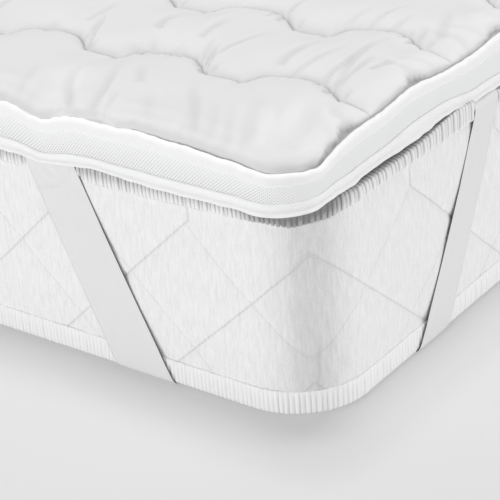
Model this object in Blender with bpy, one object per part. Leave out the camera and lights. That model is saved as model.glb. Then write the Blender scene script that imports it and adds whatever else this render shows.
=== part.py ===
"""Quilted mattress topper, strapped round the corners of a plain mattress.

Metres, +Z up. The origin is the middle of the underside. X runs across the
width and Y along the length. The corner at +X, -Y is the front right one.
Sections are tables of (inset, height): inset is measured inwards from the
outer outline of the topper or of the mattress, height from the floor.
"""
import bmesh
import bpy
from math import atan, ceil, cos, hypot, pi, sin, tau
from mathutils import Vector
from mathutils.geometry import delaunay_2d_cdt

MM = 0.001
GAP = 0.3 * MM
MERGE = 0.001 * MM

# Mattress, over its binding tapes
MATTRESS_WIDTH = 0.903
MATTRESS_LENGTH = 2.003
MATTRESS_HEIGHT = 0.180
MATTRESS_CORNER = 0.062

# Topper, over its binding tapes
TOPPER_WIDTH = 0.910
TOPPER_LENGTH = 2.015
TOPPER_CORNER = 0.040
TOPPER_SHIFT = (-0.006, -0.0105)
TOPPER_BASE = MATTRESS_HEIGHT + GAP
SEAM_HEIGHT = 0.2192

# Quilting of the topper: wavy sewn channels across the width
CHANNEL_PITCH = 0.120
CHANNEL_COUNT = 16
FIRST_CHANNEL = 0.1050
MOTIF_PERIOD = 0.122
MOTIF_START = -0.004
CHANNEL_RISE = 0.0025
PUFF_HEIGHT = 0.0115
EDGE_RISE = 0.040
EDGE_MARGIN = 0.009

# One repeat of a channel: along is the share of the period, across the swing
# in metres towards +Y
MOTIF = (
    # along, across
    (0.00, -0.0005),
    (0.05, 0.0165),
    (0.20, 0.0245),
    (0.38, 0.0265),
    (0.54, 0.0190),
    (0.71, 0.0010),
    (0.86, 0.0005),
)
# Lines of points between two channels: place is the share of the way across,
# puff the share of the full puff
BAND_LINES = (
    # place, puff
    (0.13, 0.62),
    (0.50, 1.00),
    (0.87, 0.62),
)

# Waves of the topper's border: whole waves round the outline, size, phase
LOWER_WAVES = (
    # count, size, phase
    (11, 0.7 * MM, 0.4),
    (19, 0.6 * MM, 1.9),
)
UPPER_WAVES = (
    (9, 1.0 * MM, 2.2),
    (23, 1.2 * MM, 0.5),
)
OUTWARD_WAVES = (
    (13, 1.0 * MM, 1.2),
    (21, 0.8 * MM, 2.8),
)
LOWER_LIFT = 1.4 * MM
# Where the border hangs over the mattress's edge it sags by a share of the
# overhang past the first few millimetres, and its upper seam by half of that
SAG_SLOPE = 0.32
SAG_FREE = 4.0 * MM
SAG_UPPER = 0.5
WAVE_STEP = 0.060
TAPE_BASE = 0.1807

# Sections round the topper
PAD_SIDE = (
    # inset, height
    (18.0 * MM, TOPPER_BASE),
    (9.0 * MM, 0.1806),
    (5.4 * MM, 0.1828),
    (3.9 * MM, 0.1880),
    (3.9 * MM, 0.2135),
    (4.6 * MM, 0.2175),
    (6.6 * MM, SEAM_HEIGHT),
)
BORDER_SECTION = (
    (1.9 * MM, 0.1860),
    (3.5 * MM, 0.1860),
    (3.5 * MM, 0.2132),
    (1.9 * MM, 0.2132),
)
UPPER_TAPE_SECTION = (
    (0.3 * MM, 0.2090),
    (1.6 * MM, 0.2090),
    (1.6 * MM, 0.2160),
    (3.8 * MM, 0.2182),
    (3.4 * MM, 0.2199),
    (1.2 * MM, 0.2192),
    (0.0 * MM, 0.2160),
)
LOWER_TAPE_SECTION = (
    (1.0 * MM, TAPE_BASE),
    (4.0 * MM, TAPE_BASE),
    (3.6 * MM, 0.1822),
    (1.6 * MM, 0.1826),
    (1.6 * MM, 0.1898),
    (0.4 * MM, 0.1902),
    (0.0 * MM, 0.1850),
)

# Sections round the mattress
CORE_SIDE = (
    # inset, height
    (13.5 * MM, 0.0000),
    (10.5 * MM, 0.0038),
    (1.8 * MM, 0.0038),
    (1.8 * MM, 0.0190),
    (0.7 * MM, 0.0320),
    (0.2 * MM, 0.0600),
    (0.2 * MM, 0.1200),
    (0.7 * MM, 0.1490),
    (1.8 * MM, 0.1620),
    (1.8 * MM, 0.1757),
    (10.0 * MM, 0.1757),
    (11.0 * MM, 0.1783),
    (24.5 * MM, 0.1784),
    (27.5 * MM, MATTRESS_HEIGHT),
)
BOTTOM_TAPE_SECTION = (
    (0.9 * MM, 0.0020),
    (9.5 * MM, 0.0020),
    (9.5 * MM, 0.0035),
    (1.5 * MM, 0.0035),
    (1.5 * MM, 0.0185),
    (0.4 * MM, 0.0185),
    (0.0 * MM, 0.0110),
    (0.0 * MM, 0.0034),
)
TOP_TAPE_SECTION = (
    (0.9 * MM, 0.1775),
    (9.5 * MM, 0.1775),
    (9.5 * MM, 0.1760),
    (1.5 * MM, 0.1760),
    (1.5 * MM, 0.1635),
    (0.4 * MM, 0.1635),
    (0.0 * MM, 0.1700),
    (0.0 * MM, 0.1760),
)

# Elastic corner straps
STRAP_THICKNESS = 1.2 * MM
# The elastic is 50 mm wide, and narrower on the long side, where it is
# stretched more. Distances are along the side from the mattress's corner.
STRAP_RUNS = (
    # middle at the top, middle at the foot, level width at each, bow
    (0.251, 0.1655, 0.053, 0.058, 0.002),
    (0.251, 0.1590, 0.038, 0.046, 0.005),
)
STRAP_GROOVE = 2.0 * MM
GROOVE_MARGIN = 1.5 * MM
GROOVE_REACH = 12.0 * MM
# Middle of the strap down one side: how far out it lies, its height, and the
# direction that its outer surface faces
STRAP_PATH = (
    # out, height, facing out, facing up
    (-22.0 * MM, 0.17940, 0.0, 1.0),
    (-3.0 * MM, 0.17940, 0.0, 1.0),
    (-0.5 * MM, 0.17850, 0.6, 0.8),
    (0.9 * MM, 0.17580, 1.0, 0.2),
    (1.0 * MM, 0.17300, 1.0, 0.0),
    (1.0 * MM, 0.13200, 1.0, 0.0),
    (1.0 * MM, 0.09000, 1.0, 0.0),
    (1.0 * MM, 0.04800, 1.0, 0.0),
    (1.0 * MM, 0.00500, 1.0, 0.0),
    (0.5 * MM, 0.00220, 0.9, -0.5),
    (-0.7 * MM, 0.00110, 0.5, -0.9),
    (-3.0 * MM, 0.00095, 0.0, -1.0),
)
UNDERSIDE_STEPS = 3

CORNERS = (
    # name, side along x, side along y
    ("front_right", 1, -1),
    ("back_right", 1, 1),
    ("back_left", -1, 1),
    ("front_left", -1, -1),
)
CORNER_STEPS = 6

# Colours and finishes
FINISHES = (
    # material, colour, roughness
    ("quilted_cover", (0.90, 0.90, 0.90), 0.85),
    ("spacer_mesh", (0.84, 0.86, 0.86), 0.75),
    ("white_tape", (0.93, 0.93, 0.94), 0.55),
    ("mattress_cover", (0.90, 0.90, 0.90), 0.85),
    ("mattress_tape", (0.92, 0.92, 0.92), 0.70),
    ("elastic", (0.76, 0.76, 0.77), 0.70),
)


def clear_scene():
    for thing in list(bpy.data.objects):
        bpy.data.objects.remove(thing, do_unlink=True)


def make_materials():
    made = {}
    for name, colour, roughness in FINISHES:
        material = bpy.data.materials.new(name)
        material.use_nodes = True
        shader = material.node_tree.nodes["Principled BSDF"]
        shader.inputs["Base Color"].default_value = (*colour, 1.0)
        shader.inputs["Roughness"].default_value = roughness
        shader.inputs["Metallic"].default_value = 0.0
        made[name] = material
    return made


def outline(width, length, radius, step):
    """Stations round a rounded rectangle: point, outward normal, distance."""
    half_x = width / 2 - radius
    half_y = length / 2 - radius
    centres = ((half_x, -half_y), (half_x, half_y), (-half_x, half_y), (-half_x, -half_y))
    points = []
    for index, centre in enumerate(centres):
        start = -pi / 2 + index * pi / 2
        for turn in range(CORNER_STEPS + 1):
            angle = start + turn * pi / 2 / CORNER_STEPS
            normal = Vector((cos(angle), sin(angle)))
            points.append((Vector(centre) + normal * radius, normal))
        following = Vector(centres[(index + 1) % 4])
        normal = Vector((cos(start + pi / 2), sin(start + pi / 2)))
        run = following - Vector(centre)
        pieces = max(1, ceil(run.length / step))
        for piece in range(1, pieces):
            points.append((Vector(centre) + normal * radius + run * piece / pieces, normal))
    stations = []
    travelled = 0.0
    for index, (point, normal) in enumerate(points):
        if index:
            travelled += (point - points[index - 1][0]).length
        stations.append((point, normal, travelled))
    total = travelled + (points[0][0] - points[-1][0]).length
    return [(point, normal, place / total) for point, normal, place in stations]


def wave(table, place):
    return sum(size * sin(tau * count * place + phase) for count, size, phase in table)


def border_sag(point):
    """How far the topper's edge sags where it hangs over the mattress."""
    x = abs(point.x + TOPPER_SHIFT[0]) - (MATTRESS_WIDTH / 2 - MATTRESS_CORNER)
    y = abs(point.y + TOPPER_SHIFT[1]) - (MATTRESS_LENGTH / 2 - MATTRESS_CORNER)
    outside = hypot(max(x, 0.0), max(y, 0.0)) + min(max(x, y), 0.0) - MATTRESS_CORNER
    return SAG_SLOPE * max(outside - SAG_FREE, 0.0)


def topper_offset(point, place, height):
    """How far the topper's soft side stands out and up at a place and height."""
    up_share = min(max((height - TAPE_BASE) / (SEAM_HEIGHT - TAPE_BASE), 0.0), 1.0)
    foot_share = min(max((height - TOPPER_BASE) / (TAPE_BASE - TOPPER_BASE), 0.0), 1.0)
    sag = border_sag(point)
    lower = (LOWER_LIFT + wave(LOWER_WAVES, place) - sag) * foot_share
    upper = wave(UPPER_WAVES, place) - sag * SAG_UPPER
    out = wave(OUTWARD_WAVES, place) * foot_share
    return out, lower * (1 - up_share) + upper * up_share


def ring_loop(bm, stations, inset, height, centre, soft):
    """A closed loop of points at one inset and height, waved if soft."""
    loop = []
    for point, normal, place in stations:
        out, up = topper_offset(point, place, height) if soft else (0.0, 0.0)
        spot = point + normal * (out - inset) + Vector(centre)
        loop.append(bm.verts.new((spot.x, spot.y, height + up)))
    return loop


def bridge(bm, first, second):
    for index in range(len(first)):
        after = (index + 1) % len(first)
        bm.faces.new((first[index], first[after], second[after], second[index]))


def finish(bm, name, material):
    bmesh.ops.recalc_face_normals(bm, faces=bm.faces[:])
    mesh = bpy.data.meshes.new(name)
    bm.to_mesh(mesh)
    bm.free()
    thing = bpy.data.objects.new(name, mesh)
    bpy.context.collection.objects.link(thing)
    mesh.materials.append(material)
    mesh.shade_smooth()
    mesh.set_sharp_from_angle(angle=atan(1.0))
    return thing


def band(name, stations, section, material, centre=(0.0, 0.0), soft=False):
    """A closed ring of one section, such as a tape or the border strip."""
    bm = bmesh.new()
    loops = [ring_loop(bm, stations, inset, height, centre, soft) for inset, height in section]
    for index, loop in enumerate(loops):
        bridge(bm, loop, loops[(index + 1) % len(loops)])
    return finish(bm, name, material)


def channel_swing(along):
    """The sideways swing of a channel, straight between the motif's points."""
    share = along % 1.0
    rows = MOTIF + ((1.0, MOTIF[0][1]),)
    for (left, low), (right, high) in zip(rows, rows[1:]):
        if share <= right:
            return low + (high - low) * (share - left) / (right - left)
    return MOTIF[0][1]


def channel_stations():
    """Places across the topper at each point of the repeating motif."""
    half = TOPPER_WIDTH / 2
    places = []
    repeats = ceil(TOPPER_WIDTH / MOTIF_PERIOD) + 1
    for repeat in range(-repeats, 2):
        for along, _ in MOTIF:
            x = half - MOTIF_START + (repeat + along) * MOTIF_PERIOD
            if -half < x < half:
                places.append(x)
    return places


def channel_y(number, x):
    """Where a sewn channel crosses the line x, before the topper's shift."""
    along = (x - TOPPER_WIDTH / 2 + MOTIF_START) / MOTIF_PERIOD
    base = -TOPPER_LENGTH / 2 + FIRST_CHANNEL + number * CHANNEL_PITCH
    return base + channel_swing(along)


def depth_inside(x, y):
    """Distance from a point to the topper's outline, positive inside."""
    radius = TOPPER_CORNER
    across = abs(x) - (TOPPER_WIDTH / 2 - radius)
    along = abs(y) - (TOPPER_LENGTH / 2 - radius)
    if across > 0 and along > 0:
        return radius - hypot(across, along)
    return radius - max(across, along)


def quilt_points():
    """Rows of points on the quilted top: x, y and share of the full puff."""
    rows = []
    half = TOPPER_LENGTH / 2
    for number in range(-1, CHANNEL_COUNT):
        lines = BAND_LINES if number < 0 else ((0.0, 0.0),) + BAND_LINES
        for place, puff in lines:
            row = []
            for x in channel_stations():
                low = channel_y(number, x) if number >= 0 else -half
                last = number == CHANNEL_COUNT - 1
                high = half if last else channel_y(number + 1, x)
                row.append((x, low + (high - low) * place, puff))
            rows.append(row)
    return rows


def quilt_height(x, y, puff):
    """Height of the quilted top, which curves down to the upper seam."""
    depth = max(depth_inside(x, y) - PAD_SIDE[-1][0], 0.0)
    rise = 1 - (1 - min(depth / EDGE_RISE, 1.0)) ** 2
    return SEAM_HEIGHT + (CHANNEL_RISE + PUFF_HEIGHT * puff) * rise


def make_pad(materials):
    """The filled body: sides drawn in behind the border, quilted top."""
    stations = outline(TOPPER_WIDTH, TOPPER_LENGTH, TOPPER_CORNER, WAVE_STEP)
    bm = bmesh.new()
    loops = []
    for inset, height in PAD_SIDE:
        loops.append(ring_loop(bm, stations, inset, height, TOPPER_SHIFT, True))
    for first, second in zip(loops, loops[1:]):
        bridge(bm, first, second)
    bm.faces.new(loops[0])
    seam = loops[-1]
    places = [Vector((v.co.x - TOPPER_SHIFT[0], v.co.y - TOPPER_SHIFT[1])) for v in seam]
    heights = [v.co.z for v in seam]
    edges = [(index, (index + 1) % len(seam)) for index in range(len(seam))]
    for row in quilt_points():
        before = None
        for x, y, puff in row:
            if depth_inside(x, y) < PAD_SIDE[-1][0] + EDGE_MARGIN:
                before = None
                continue
            places.append(Vector((x, y)))
            heights.append(quilt_height(x, y, puff))
            if before is not None and puff == 0.0:
                edges.append((before, len(places) - 1))
            before = len(places) - 1
    flat, _, faces, origins, _, _ = delaunay_2d_cdt(places, edges, [], 1, MERGE)
    verts = []
    for spot, origin in zip(flat, origins):
        source = origin[0]
        if source < len(seam):
            verts.append(seam[source])
            continue
        x = spot.x + TOPPER_SHIFT[0]
        y = spot.y + TOPPER_SHIFT[1]
        verts.append(bm.verts.new((x, y, heights[source])))
    for face in faces:
        bm.faces.new([verts[index] for index in face])
    return finish(bm, "topper_pad", materials["quilted_cover"])


def make_topper(materials):
    stations = outline(TOPPER_WIDTH, TOPPER_LENGTH, TOPPER_CORNER, WAVE_STEP)
    soft = {"centre": TOPPER_SHIFT, "soft": True}
    band("topper_border", stations, BORDER_SECTION, materials["spacer_mesh"], **soft)
    band("topper_tape_upper", stations, UPPER_TAPE_SECTION, materials["white_tape"], **soft)
    band("topper_tape_lower", stations, LOWER_TAPE_SECTION, materials["white_tape"], **soft)
    make_pad(materials)


def strap_spot(corner, along, out, height, on_long_side):
    """A point beside a corner: along the side from the corner, and out."""
    _, side_x, side_y = corner
    if on_long_side:
        x = MATTRESS_WIDTH / 2 + out
        y = MATTRESS_LENGTH / 2 - along
    else:
        x = MATTRESS_WIDTH / 2 - along
        y = MATTRESS_LENGTH / 2 + out
    return Vector((side_x * x, side_y * y, height))


def strap_rows(corner):
    """Cross rows of the strap: two edges, and its thickness direction."""
    _, side_x, side_y = corner
    sides = []
    for on_long_side in (False, True):
        top, foot, top_run, foot_run, bow = STRAP_RUNS[on_long_side]
        rows = []
        for out, height, face_out, face_up in STRAP_PATH:
            share = height / MATTRESS_HEIGHT
            middle = foot + (top - foot) * share + bow * 4 * share * (1 - share)
            half_run = (foot_run + (top_run - foot_run) * share) / 2
            near = strap_spot(corner, middle - half_run, out, height, on_long_side)
            far = strap_spot(corner, middle + half_run, out, height, on_long_side)
            if on_long_side:
                facing = Vector((side_x * face_out, 0.0, face_up)).normalized()
            else:
                facing = Vector((0.0, side_y * face_out, face_up)).normalized()
            rows.append((near, far, facing))
        sides.append(rows)
    first = sides[0]
    second = sides[1][::-1]
    start = first[-1]
    end = second[0]
    under = []
    for step in range(1, UNDERSIDE_STEPS):
        share = step / UNDERSIDE_STEPS
        near = start[0].lerp(end[0], share)
        far = start[1].lerp(end[1], share)
        under.append((near, far, start[2]))
    return first + under + second


def make_strap(corner, materials):
    """One elastic: sewn flap, down one side, under the corner and up again."""
    bm = bmesh.new()
    rows = []
    for near, far, facing in strap_rows(corner):
        half = facing * STRAP_THICKNESS / 2
        spots = (near + half, far + half, far - half, near - half)
        rows.append([bm.verts.new(spot) for spot in spots])
    for first, second in zip(rows, rows[1:]):
        bridge(bm, first, second)
    bm.faces.new(rows[0])
    bm.faces.new(rows[-1])
    return finish(bm, "strap_" + corner[0], materials["elastic"])


def groove_cutter(corner, materials):
    """The shallow press that a strap makes in the mattress's underside."""
    reach = (GROOVE_REACH, STRAP_PATH[-1][0])
    plan = []
    for edge in (-1, 1):
        ends = []
        for on_long_side in (False, True):
            _, foot, _, foot_run, _ = STRAP_RUNS[on_long_side]
            along = foot + edge * (foot_run / 2 + GROOVE_MARGIN)
            ends.append([(along, out, on_long_side) for out in reach])
        route = ends[0] + ends[1][::-1]
        plan += route[::-edge]
    bm = bmesh.new()
    loops = []
    for height in (-STRAP_GROOVE, STRAP_GROOVE):
        loops.append([
            bm.verts.new(strap_spot(corner, along, out, height, long_side))
            for along, out, long_side in plan
        ])
    bridge(bm, loops[0], loops[1])
    bm.faces.new(loops[0])
    bm.faces.new(loops[1])
    cutter = finish(bm, "groove_" + corner[0], materials["elastic"])
    cutter.hide_render = True
    cutter.display_type = "WIRE"
    return cutter


def make_mattress(materials):
    stations = outline(MATTRESS_WIDTH, MATTRESS_LENGTH, MATTRESS_CORNER, MATTRESS_LENGTH)
    band("mattress_tape_top", stations, TOP_TAPE_SECTION, materials["mattress_tape"])
    band("mattress_tape_bottom", stations, BOTTOM_TAPE_SECTION, materials["mattress_tape"])
    bm = bmesh.new()
    loops = []
    for inset, height in CORE_SIDE:
        loops.append(ring_loop(bm, stations, inset, height, (0.0, 0.0), False))
    for first, second in zip(loops, loops[1:]):
        bridge(bm, first, second)
    bm.faces.new(loops[0])
    bm.faces.new(loops[-1])
    core = finish(bm, "mattress_core", materials["mattress_cover"])
    for corner in CORNERS:
        cut = core.modifiers.new("groove", "BOOLEAN")
        cut.operation = "DIFFERENCE"
        cut.solver = "EXACT"
        cut.object = groove_cutter(corner, materials)
    return core


def centre_on_origin():
    """Moves the whole part so that its box is centred over the origin."""
    solids = [thing for thing in bpy.data.objects if not thing.hide_render]
    spots = [vert.co for thing in solids for vert in thing.data.vertices]
    middle_x = (max(s.x for s in spots) + min(s.x for s in spots)) / 2
    middle_y = (max(s.y for s in spots) + min(s.y for s in spots)) / 2
    for thing in bpy.data.objects:
        thing.location = (-middle_x, -middle_y, 0.0)


def main():
    clear_scene()
    materials = make_materials()
    make_mattress(materials)
    for corner in CORNERS:
        make_strap(corner, materials)
    make_topper(materials)
    centre_on_origin()


main()
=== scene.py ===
"""Looks of the quilted mattress topper, strapped round the corners of its mattress.

Metres, +Z up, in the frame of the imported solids. Everything that runs round
the part is placed by its distance round an outline, measured from the middle
of the front right corner, which is the corner nearest the camera: places over
zero run along the right side, places under zero along the front.
"""
from math import ceil, cos, pi, radians, sin, tau

import bpy
import numpy as np
from mathutils import Matrix, Vector


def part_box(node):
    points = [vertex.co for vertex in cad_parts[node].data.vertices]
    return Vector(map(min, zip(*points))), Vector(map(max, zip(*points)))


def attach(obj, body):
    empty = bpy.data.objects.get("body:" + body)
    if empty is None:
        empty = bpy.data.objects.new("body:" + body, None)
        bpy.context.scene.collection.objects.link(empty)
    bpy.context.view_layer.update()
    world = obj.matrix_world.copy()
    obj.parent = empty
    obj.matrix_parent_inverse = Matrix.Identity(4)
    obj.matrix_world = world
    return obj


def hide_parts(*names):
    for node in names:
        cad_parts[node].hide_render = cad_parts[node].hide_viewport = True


MM = 0.001
SEED = 11
COVER_SEED = 16

# Outlines, as in the solids
MATTRESS_SIZE = (0.903, 2.003)
MATTRESS_HEIGHT = 0.180
MATTRESS_CORNER = 0.062
TOPPER_SIZE = (0.910, 2.015)
TOPPER_CORNER = 0.040
TOPPER_SHIFT = (-0.006, -0.0105)
TAPE_BASE = 0.1807
SEAM_HEIGHT = 0.2192

# Waves and sag of the topper's border, as in the solids: whole waves round
# the outline, size, phase
LOWER_WAVES = ((11, 0.7 * MM, 0.4), (19, 0.6 * MM, 1.9))
UPPER_WAVES = ((9, 1.0 * MM, 2.2), (23, 1.2 * MM, 0.5))
OUTWARD_WAVES = ((13, 1.0 * MM, 1.2), (21, 0.8 * MM, 2.8))
LOWER_LIFT = 1.4 * MM
SAG_SLOPE = 0.32
SAG_FREE = 4.0 * MM
SAG_UPPER = 0.5
# Where the border stands up or slumps near the photographed corner
NEAR_WAVES = MM * np.array((
    # place, reach, rise of the lower edge, of its tape's top, of the upper edge, in mm
    (-228, 21, -2.0, -5.0, -8.5),
    (-172, 30, 3.5, 1.0, 0.0),
    (-130, 18, 0.5, 0.5, 2.2),
    (-60, 20, 0.0, -0.5, -2.8),
    (-16, 30, 0.0, -1.2, -9.5),
    (26, 24, 0.0, -1.2, -10.5),
    (57, 20, -3.0, -2.0, -2.0),
    (152, 34, -0.5, 5.0, 6.5),
    (196, 28, 3.0, 4.0, 0.5),
    (245, 26, -2.0, -1.6, -0.6),
    (290, 24, -2.5, -2.0, 3.0),
))
BEAD_SHARE = 0.26
# At the photographed corner the border leans out below this share of its
# height, and in above it
CORNER_FLARE = 3.0 * MM
FLARE_REACH = 36.0 * MM
FLARE_PIVOT = 0.6

# Quilting: wavy sewn channels across the width
CHANNEL_PITCH = 0.120
CHANNEL_COUNT = 16
FIRST_CHANNEL = 0.1050
MOTIF_PERIOD = 0.122
MOTIF_START = -0.004
# One repeat of a channel: along is the share of the period, across the swing.
# The channel turns sharply at its cusp, at 0, and at its kink.
MOTIF = (
    # along, across, turns sharply
    (0.00, -2.5 * MM, True),
    (0.03, 11.5 * MM, False),
    (0.07, 18.0 * MM, False),
    (0.15, 23.0 * MM, False),
    (0.26, 26.0 * MM, False),
    (0.36, 27.0 * MM, False),
    (0.45, 25.0 * MM, False),
    (0.54, 19.0 * MM, False),
    (0.62, 10.5 * MM, False),
    (0.71, 1.2 * MM, True),
    (0.85, 0.6 * MM, False),
    (0.95, 0.0 * MM, False),
    (1.00, -2.5 * MM, True),
)
MOTIF_SWING = max(row[1] for row in MOTIF)
KINK = 0.71
# Its rim, its seams and the filling between them
RIM_HEIGHT = 0.2172
RIM_END_RISE = 2.4 * MM
RIM_SIDE_DRAW = 1.8 * MM
PIT_DEPTH = 2.4 * MM
CHANNEL_RISE = 5.2 * MM
PUFF_HEIGHT = 10.4 * MM
PUFF_REACH = 44.0 * MM
SEW_DEPTH = 1.6 * MM
SEW_WIDTH = 1.2 * MM
SEW_LEAST = 0.7
EDGE_REACH = 22.0 * MM
STEEP_SLOPE = 0.9
# Within this reach of a corner, places along the rim turn smoothly
CORNER_TURN = 0.12
PIT_START = 1.5 * MM
SEAM_WAVE_REACH = 0.06
RIM_REACH = 12.0 * MM
RIM_BULGE = 1.6 * MM
RIM_PUCKER = (12.0 * MM, 0.9 * MM)
# Share of a crease's depth that is left beside a channel, and how fast it grows
CREASE_LEAST = 0.45
CREASE_GROWTH = 2.5

# Painted shade on the quilted top: how much it darkens its seams, creases, rim and hollows
SEAM_SHADE = 0.30
STEEP_SHADE = 0.34
SEAM_SHADE_REACH = 0.8 * MM
CREASE_SHADE = 0.16
CREASE_FULL = 2.6 * MM
RIM_SHADE = 0.04
SIDE_RIM_SHADE = 0.66
RIM_SHADE_REACH = 1.1 * MM
END_SHADE = 0.12
END_SHADE_REACH = 20.0 * MM
PIT_SHADE = 0.5

# How finely the quilted top is meshed: from its right edge to FINE_WIDTH, on
# to MIDDLE_WIDTH, and beyond; and for the bands of filling from the front
FINE_STEP = 1.96 * MM
MIDDLE_STEP = 3.7 * MM
COARSE_STEP = 9.6 * MM
MIDDLE_ROW_STEP = 2.2 * FINE_STEP
FINE_WIDTH = 0.315
MIDDLE_WIDTH = 0.44
FINE_BANDS = 2
MIDDLE_BANDS = 3
CHANNEL_STEPS = MM * np.array((0.0, 0.6, 1.5, 2.8, 4.6))
COARSE_ROWS = np.array((0.0, 0.012, 0.045, 0.13, 0.28, 0.5, 0.72, 0.87, 0.955, 0.988))
ROW_MARGIN = 0.05
EDGE_STEPS = MM * np.array((0.0, 0.7, 1.6, 2.8, 4.4, 6.4, 8.8, 11.6))
SEAM_INSET = 3.8 * MM
# Where the curve of a channel is followed, to both sides of a point
GAP_PLACES = MM * np.concatenate([np.arange(-24, -8, 1.6), np.arange(-8, 8, 0.8), np.arange(8, 25, 1.6)])

# Camera, from the photograph: it stands off the front right corner
CAMERA_OFFSET = (0.6072, -0.8789)
CAMERA_HEIGHT = 0.684
CAMERA_PITCH = radians(26.36)
CAMERA_YAW = radians(37.09)
CAMERA_ROLL = radians(-3.5)
FOCAL_PIXELS = 1700
IMAGE_PIXELS = 500
SENSOR = 36.0
CLIP_RANGE = (0.05, 50.0)

# Rings are closed with this gap, and repeats on them are counted at so many places
RING_GAP = 0.4 * MM
RING_SAMPLES = 6000


def smooth(value):
    """Eases from 0 to 1 where the value goes from 0 to 1."""
    value = np.clip(value, 0.0, 1.0)
    return value * value * (3 - 2 * value)


def bell(offset, width):
    """1 in the middle of a soft bump, and towards 0 beyond its width."""
    return np.exp(-(offset / width) ** 2)


def waves(table, share):
    """Sum of the table's waves at a share of the way round."""
    return sum(size * np.sin(tau * count * share + phase) for count, size, phase in table)


class Outline:
    """A rounded rectangle, followed by the distance round it."""

    def __init__(self, size, radius, centre):
        self.half = np.array(size) / 2
        self.radius = radius
        self.centre = np.array(centre)
        self.core = self.half - radius
        arc = radius * pi / 2
        run_x, run_y = self.core * 2
        lengths = (arc / 2, run_y, arc, run_x, arc, run_y, arc, run_x, arc / 2)
        self.arc = arc
        self.starts = np.concatenate(([0.0], np.cumsum(lengths)))
        self.total = self.starts[-1]

    def at(self, place):
        """Points and outward normals at places round the outline."""
        place = np.asarray(place) % self.total
        part = np.clip(np.searchsorted(self.starts, place, side="right") - 1, 0, 8)
        local = place - self.starts[part]
        base = np.array([-45, 0, 0, 90, 90, 180, 180, 270, 270])[part] * pi / 180
        straight = part % 2 == 1
        angle = base + np.where(straight, 0.0, local / self.radius)
        normal = np.stack([np.cos(angle), np.sin(angle)], -1)
        tangent = np.stack([-normal[..., 1], normal[..., 0]], -1)
        sides = np.array([(1, -1)] * 2 + [(1, 1)] * 2 + [(-1, 1)] * 2 + [(-1, -1)] * 2 + [(1, -1)])
        point = sides[part] * self.core + normal * self.radius
        point = point + tangent * np.where(straight, local, 0.0)[..., None]
        return point + self.centre, normal

    def share(self, place):
        """Share of the way round from where the front right corner begins."""
        return (np.asarray(place) + self.arc / 2) / self.total

    def signed(self, place):
        """Places as distances to either side of the photographed corner."""
        return (np.asarray(place) + self.total / 2) % self.total - self.total / 2

    def nearest(self, x, y, reach):
        """Depth inside the outline, and the place beside it, which turns smoothly
        within reach of a corner."""
        x = x - self.centre[0]
        y = y - self.centre[1]
        over = np.abs(x) - self.core[0], np.abs(y) - self.core[1]
        in_corner = (over[0] > 0) & (over[1] > 0)
        depth = self.radius - np.where(in_corner, np.hypot(*over), np.maximum(*over))
        hub = self.half - reach
        past = np.abs(x) - hub[0], np.abs(y) - hub[1]
        turning = (past[0] > 0) & (past[1] > 0)
        half_turn = self.arc / 2 + reach - self.radius
        turn = np.arctan2(np.maximum(past[1], 0.0), np.maximum(past[0], 1e-9)) / (pi / 2)
        middles = [0.0] + [self.starts[n] + self.arc / 2 for n in (2, 4, 6)]
        right, front = x > 0, y < 0
        middle = np.select([right & front, right, ~front], middles[:3], middles[3])
        spin = np.where(right == front, -1.0, 1.0)
        around = middle + spin * (turn * 2 - 1) * half_turn
        on_side = over[0] > over[1]
        side = np.where(right, self.arc / 2 + y + self.core[1], self.starts[5] + self.core[1] - y)
        end = np.where(front, self.starts[7] + x + self.core[0], self.starts[3] + self.core[0] - x)
        return depth, np.where(turning, around, np.where(on_side, side, end))


def border_sag(point, mattress):
    """How far the topper's edge sags where it hangs over the mattress."""
    over = np.abs(point - mattress.centre) - mattress.core
    corner = np.hypot(np.maximum(over[..., 0], 0.0), np.maximum(over[..., 1], 0.0))
    outside = corner + np.minimum(np.maximum(over[..., 0], over[..., 1]), 0.0) - mattress.radius
    return SAG_SLOPE * np.maximum(outside - SAG_FREE, 0.0)


def border_move(topper, mattress, place, height):
    """How far the border stands out and up at a place and height."""
    point, _ = topper.at(place)
    share = topper.share(place)
    sag = border_sag(point, mattress)
    lower = LOWER_LIFT + waves(LOWER_WAVES, share) - sag
    upper = waves(UPPER_WAVES, share) - sag * SAG_UPPER
    middle = lower * (1 - BEAD_SHARE) + upper * BEAD_SHARE
    spot = topper.signed(place)
    for near, reach, low, bead, high in NEAR_WAVES:
        swell = bell(spot - near, reach)
        lower = lower + low * swell
        middle = middle + bead * swell
        upper = upper + high * swell
    up_share = np.clip((height - TAPE_BASE) / (SEAM_HEIGHT - TAPE_BASE), 0.0, 1.0)
    first = np.minimum(up_share / BEAD_SHARE, 1.0)
    second = np.maximum((up_share - BEAD_SHARE) / (1 - BEAD_SHARE), 0.0)
    rise = lower + (middle - lower) * first + (upper - middle) * second
    flare = CORNER_FLARE * bell(spot, FLARE_REACH) * (FLARE_PIVOT - up_share)
    return waves(OUTWARD_WAVES, share) + flare, rise


# ---------------------------------------------------------------- meshes

def add_object(name, data):
    """A new object in the scene."""
    thing = bpy.data.objects.new(name, data)
    bpy.context.scene.collection.objects.link(thing)
    return thing


def add_mesh(name, points, faces, material, extra=None):
    """A smooth shaded mesh object. extra holds named values for each point."""
    mesh = bpy.data.meshes.new(name)
    mesh.from_pydata(np.asarray(points, float).reshape(-1, 3), [], faces)
    for key, values in (extra or {}).items():
        values = np.asarray(values, np.float32)
        kind = "FLOAT" if values.ndim == 1 else "FLOAT_VECTOR"
        field = "value" if values.ndim == 1 else "vector"
        mesh.attributes.new(key, kind, "POINT").data.foreach_set(field, values.ravel())
    mesh.shade_smooth()
    mesh.materials.append(material)
    return add_object(name, mesh)


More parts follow.
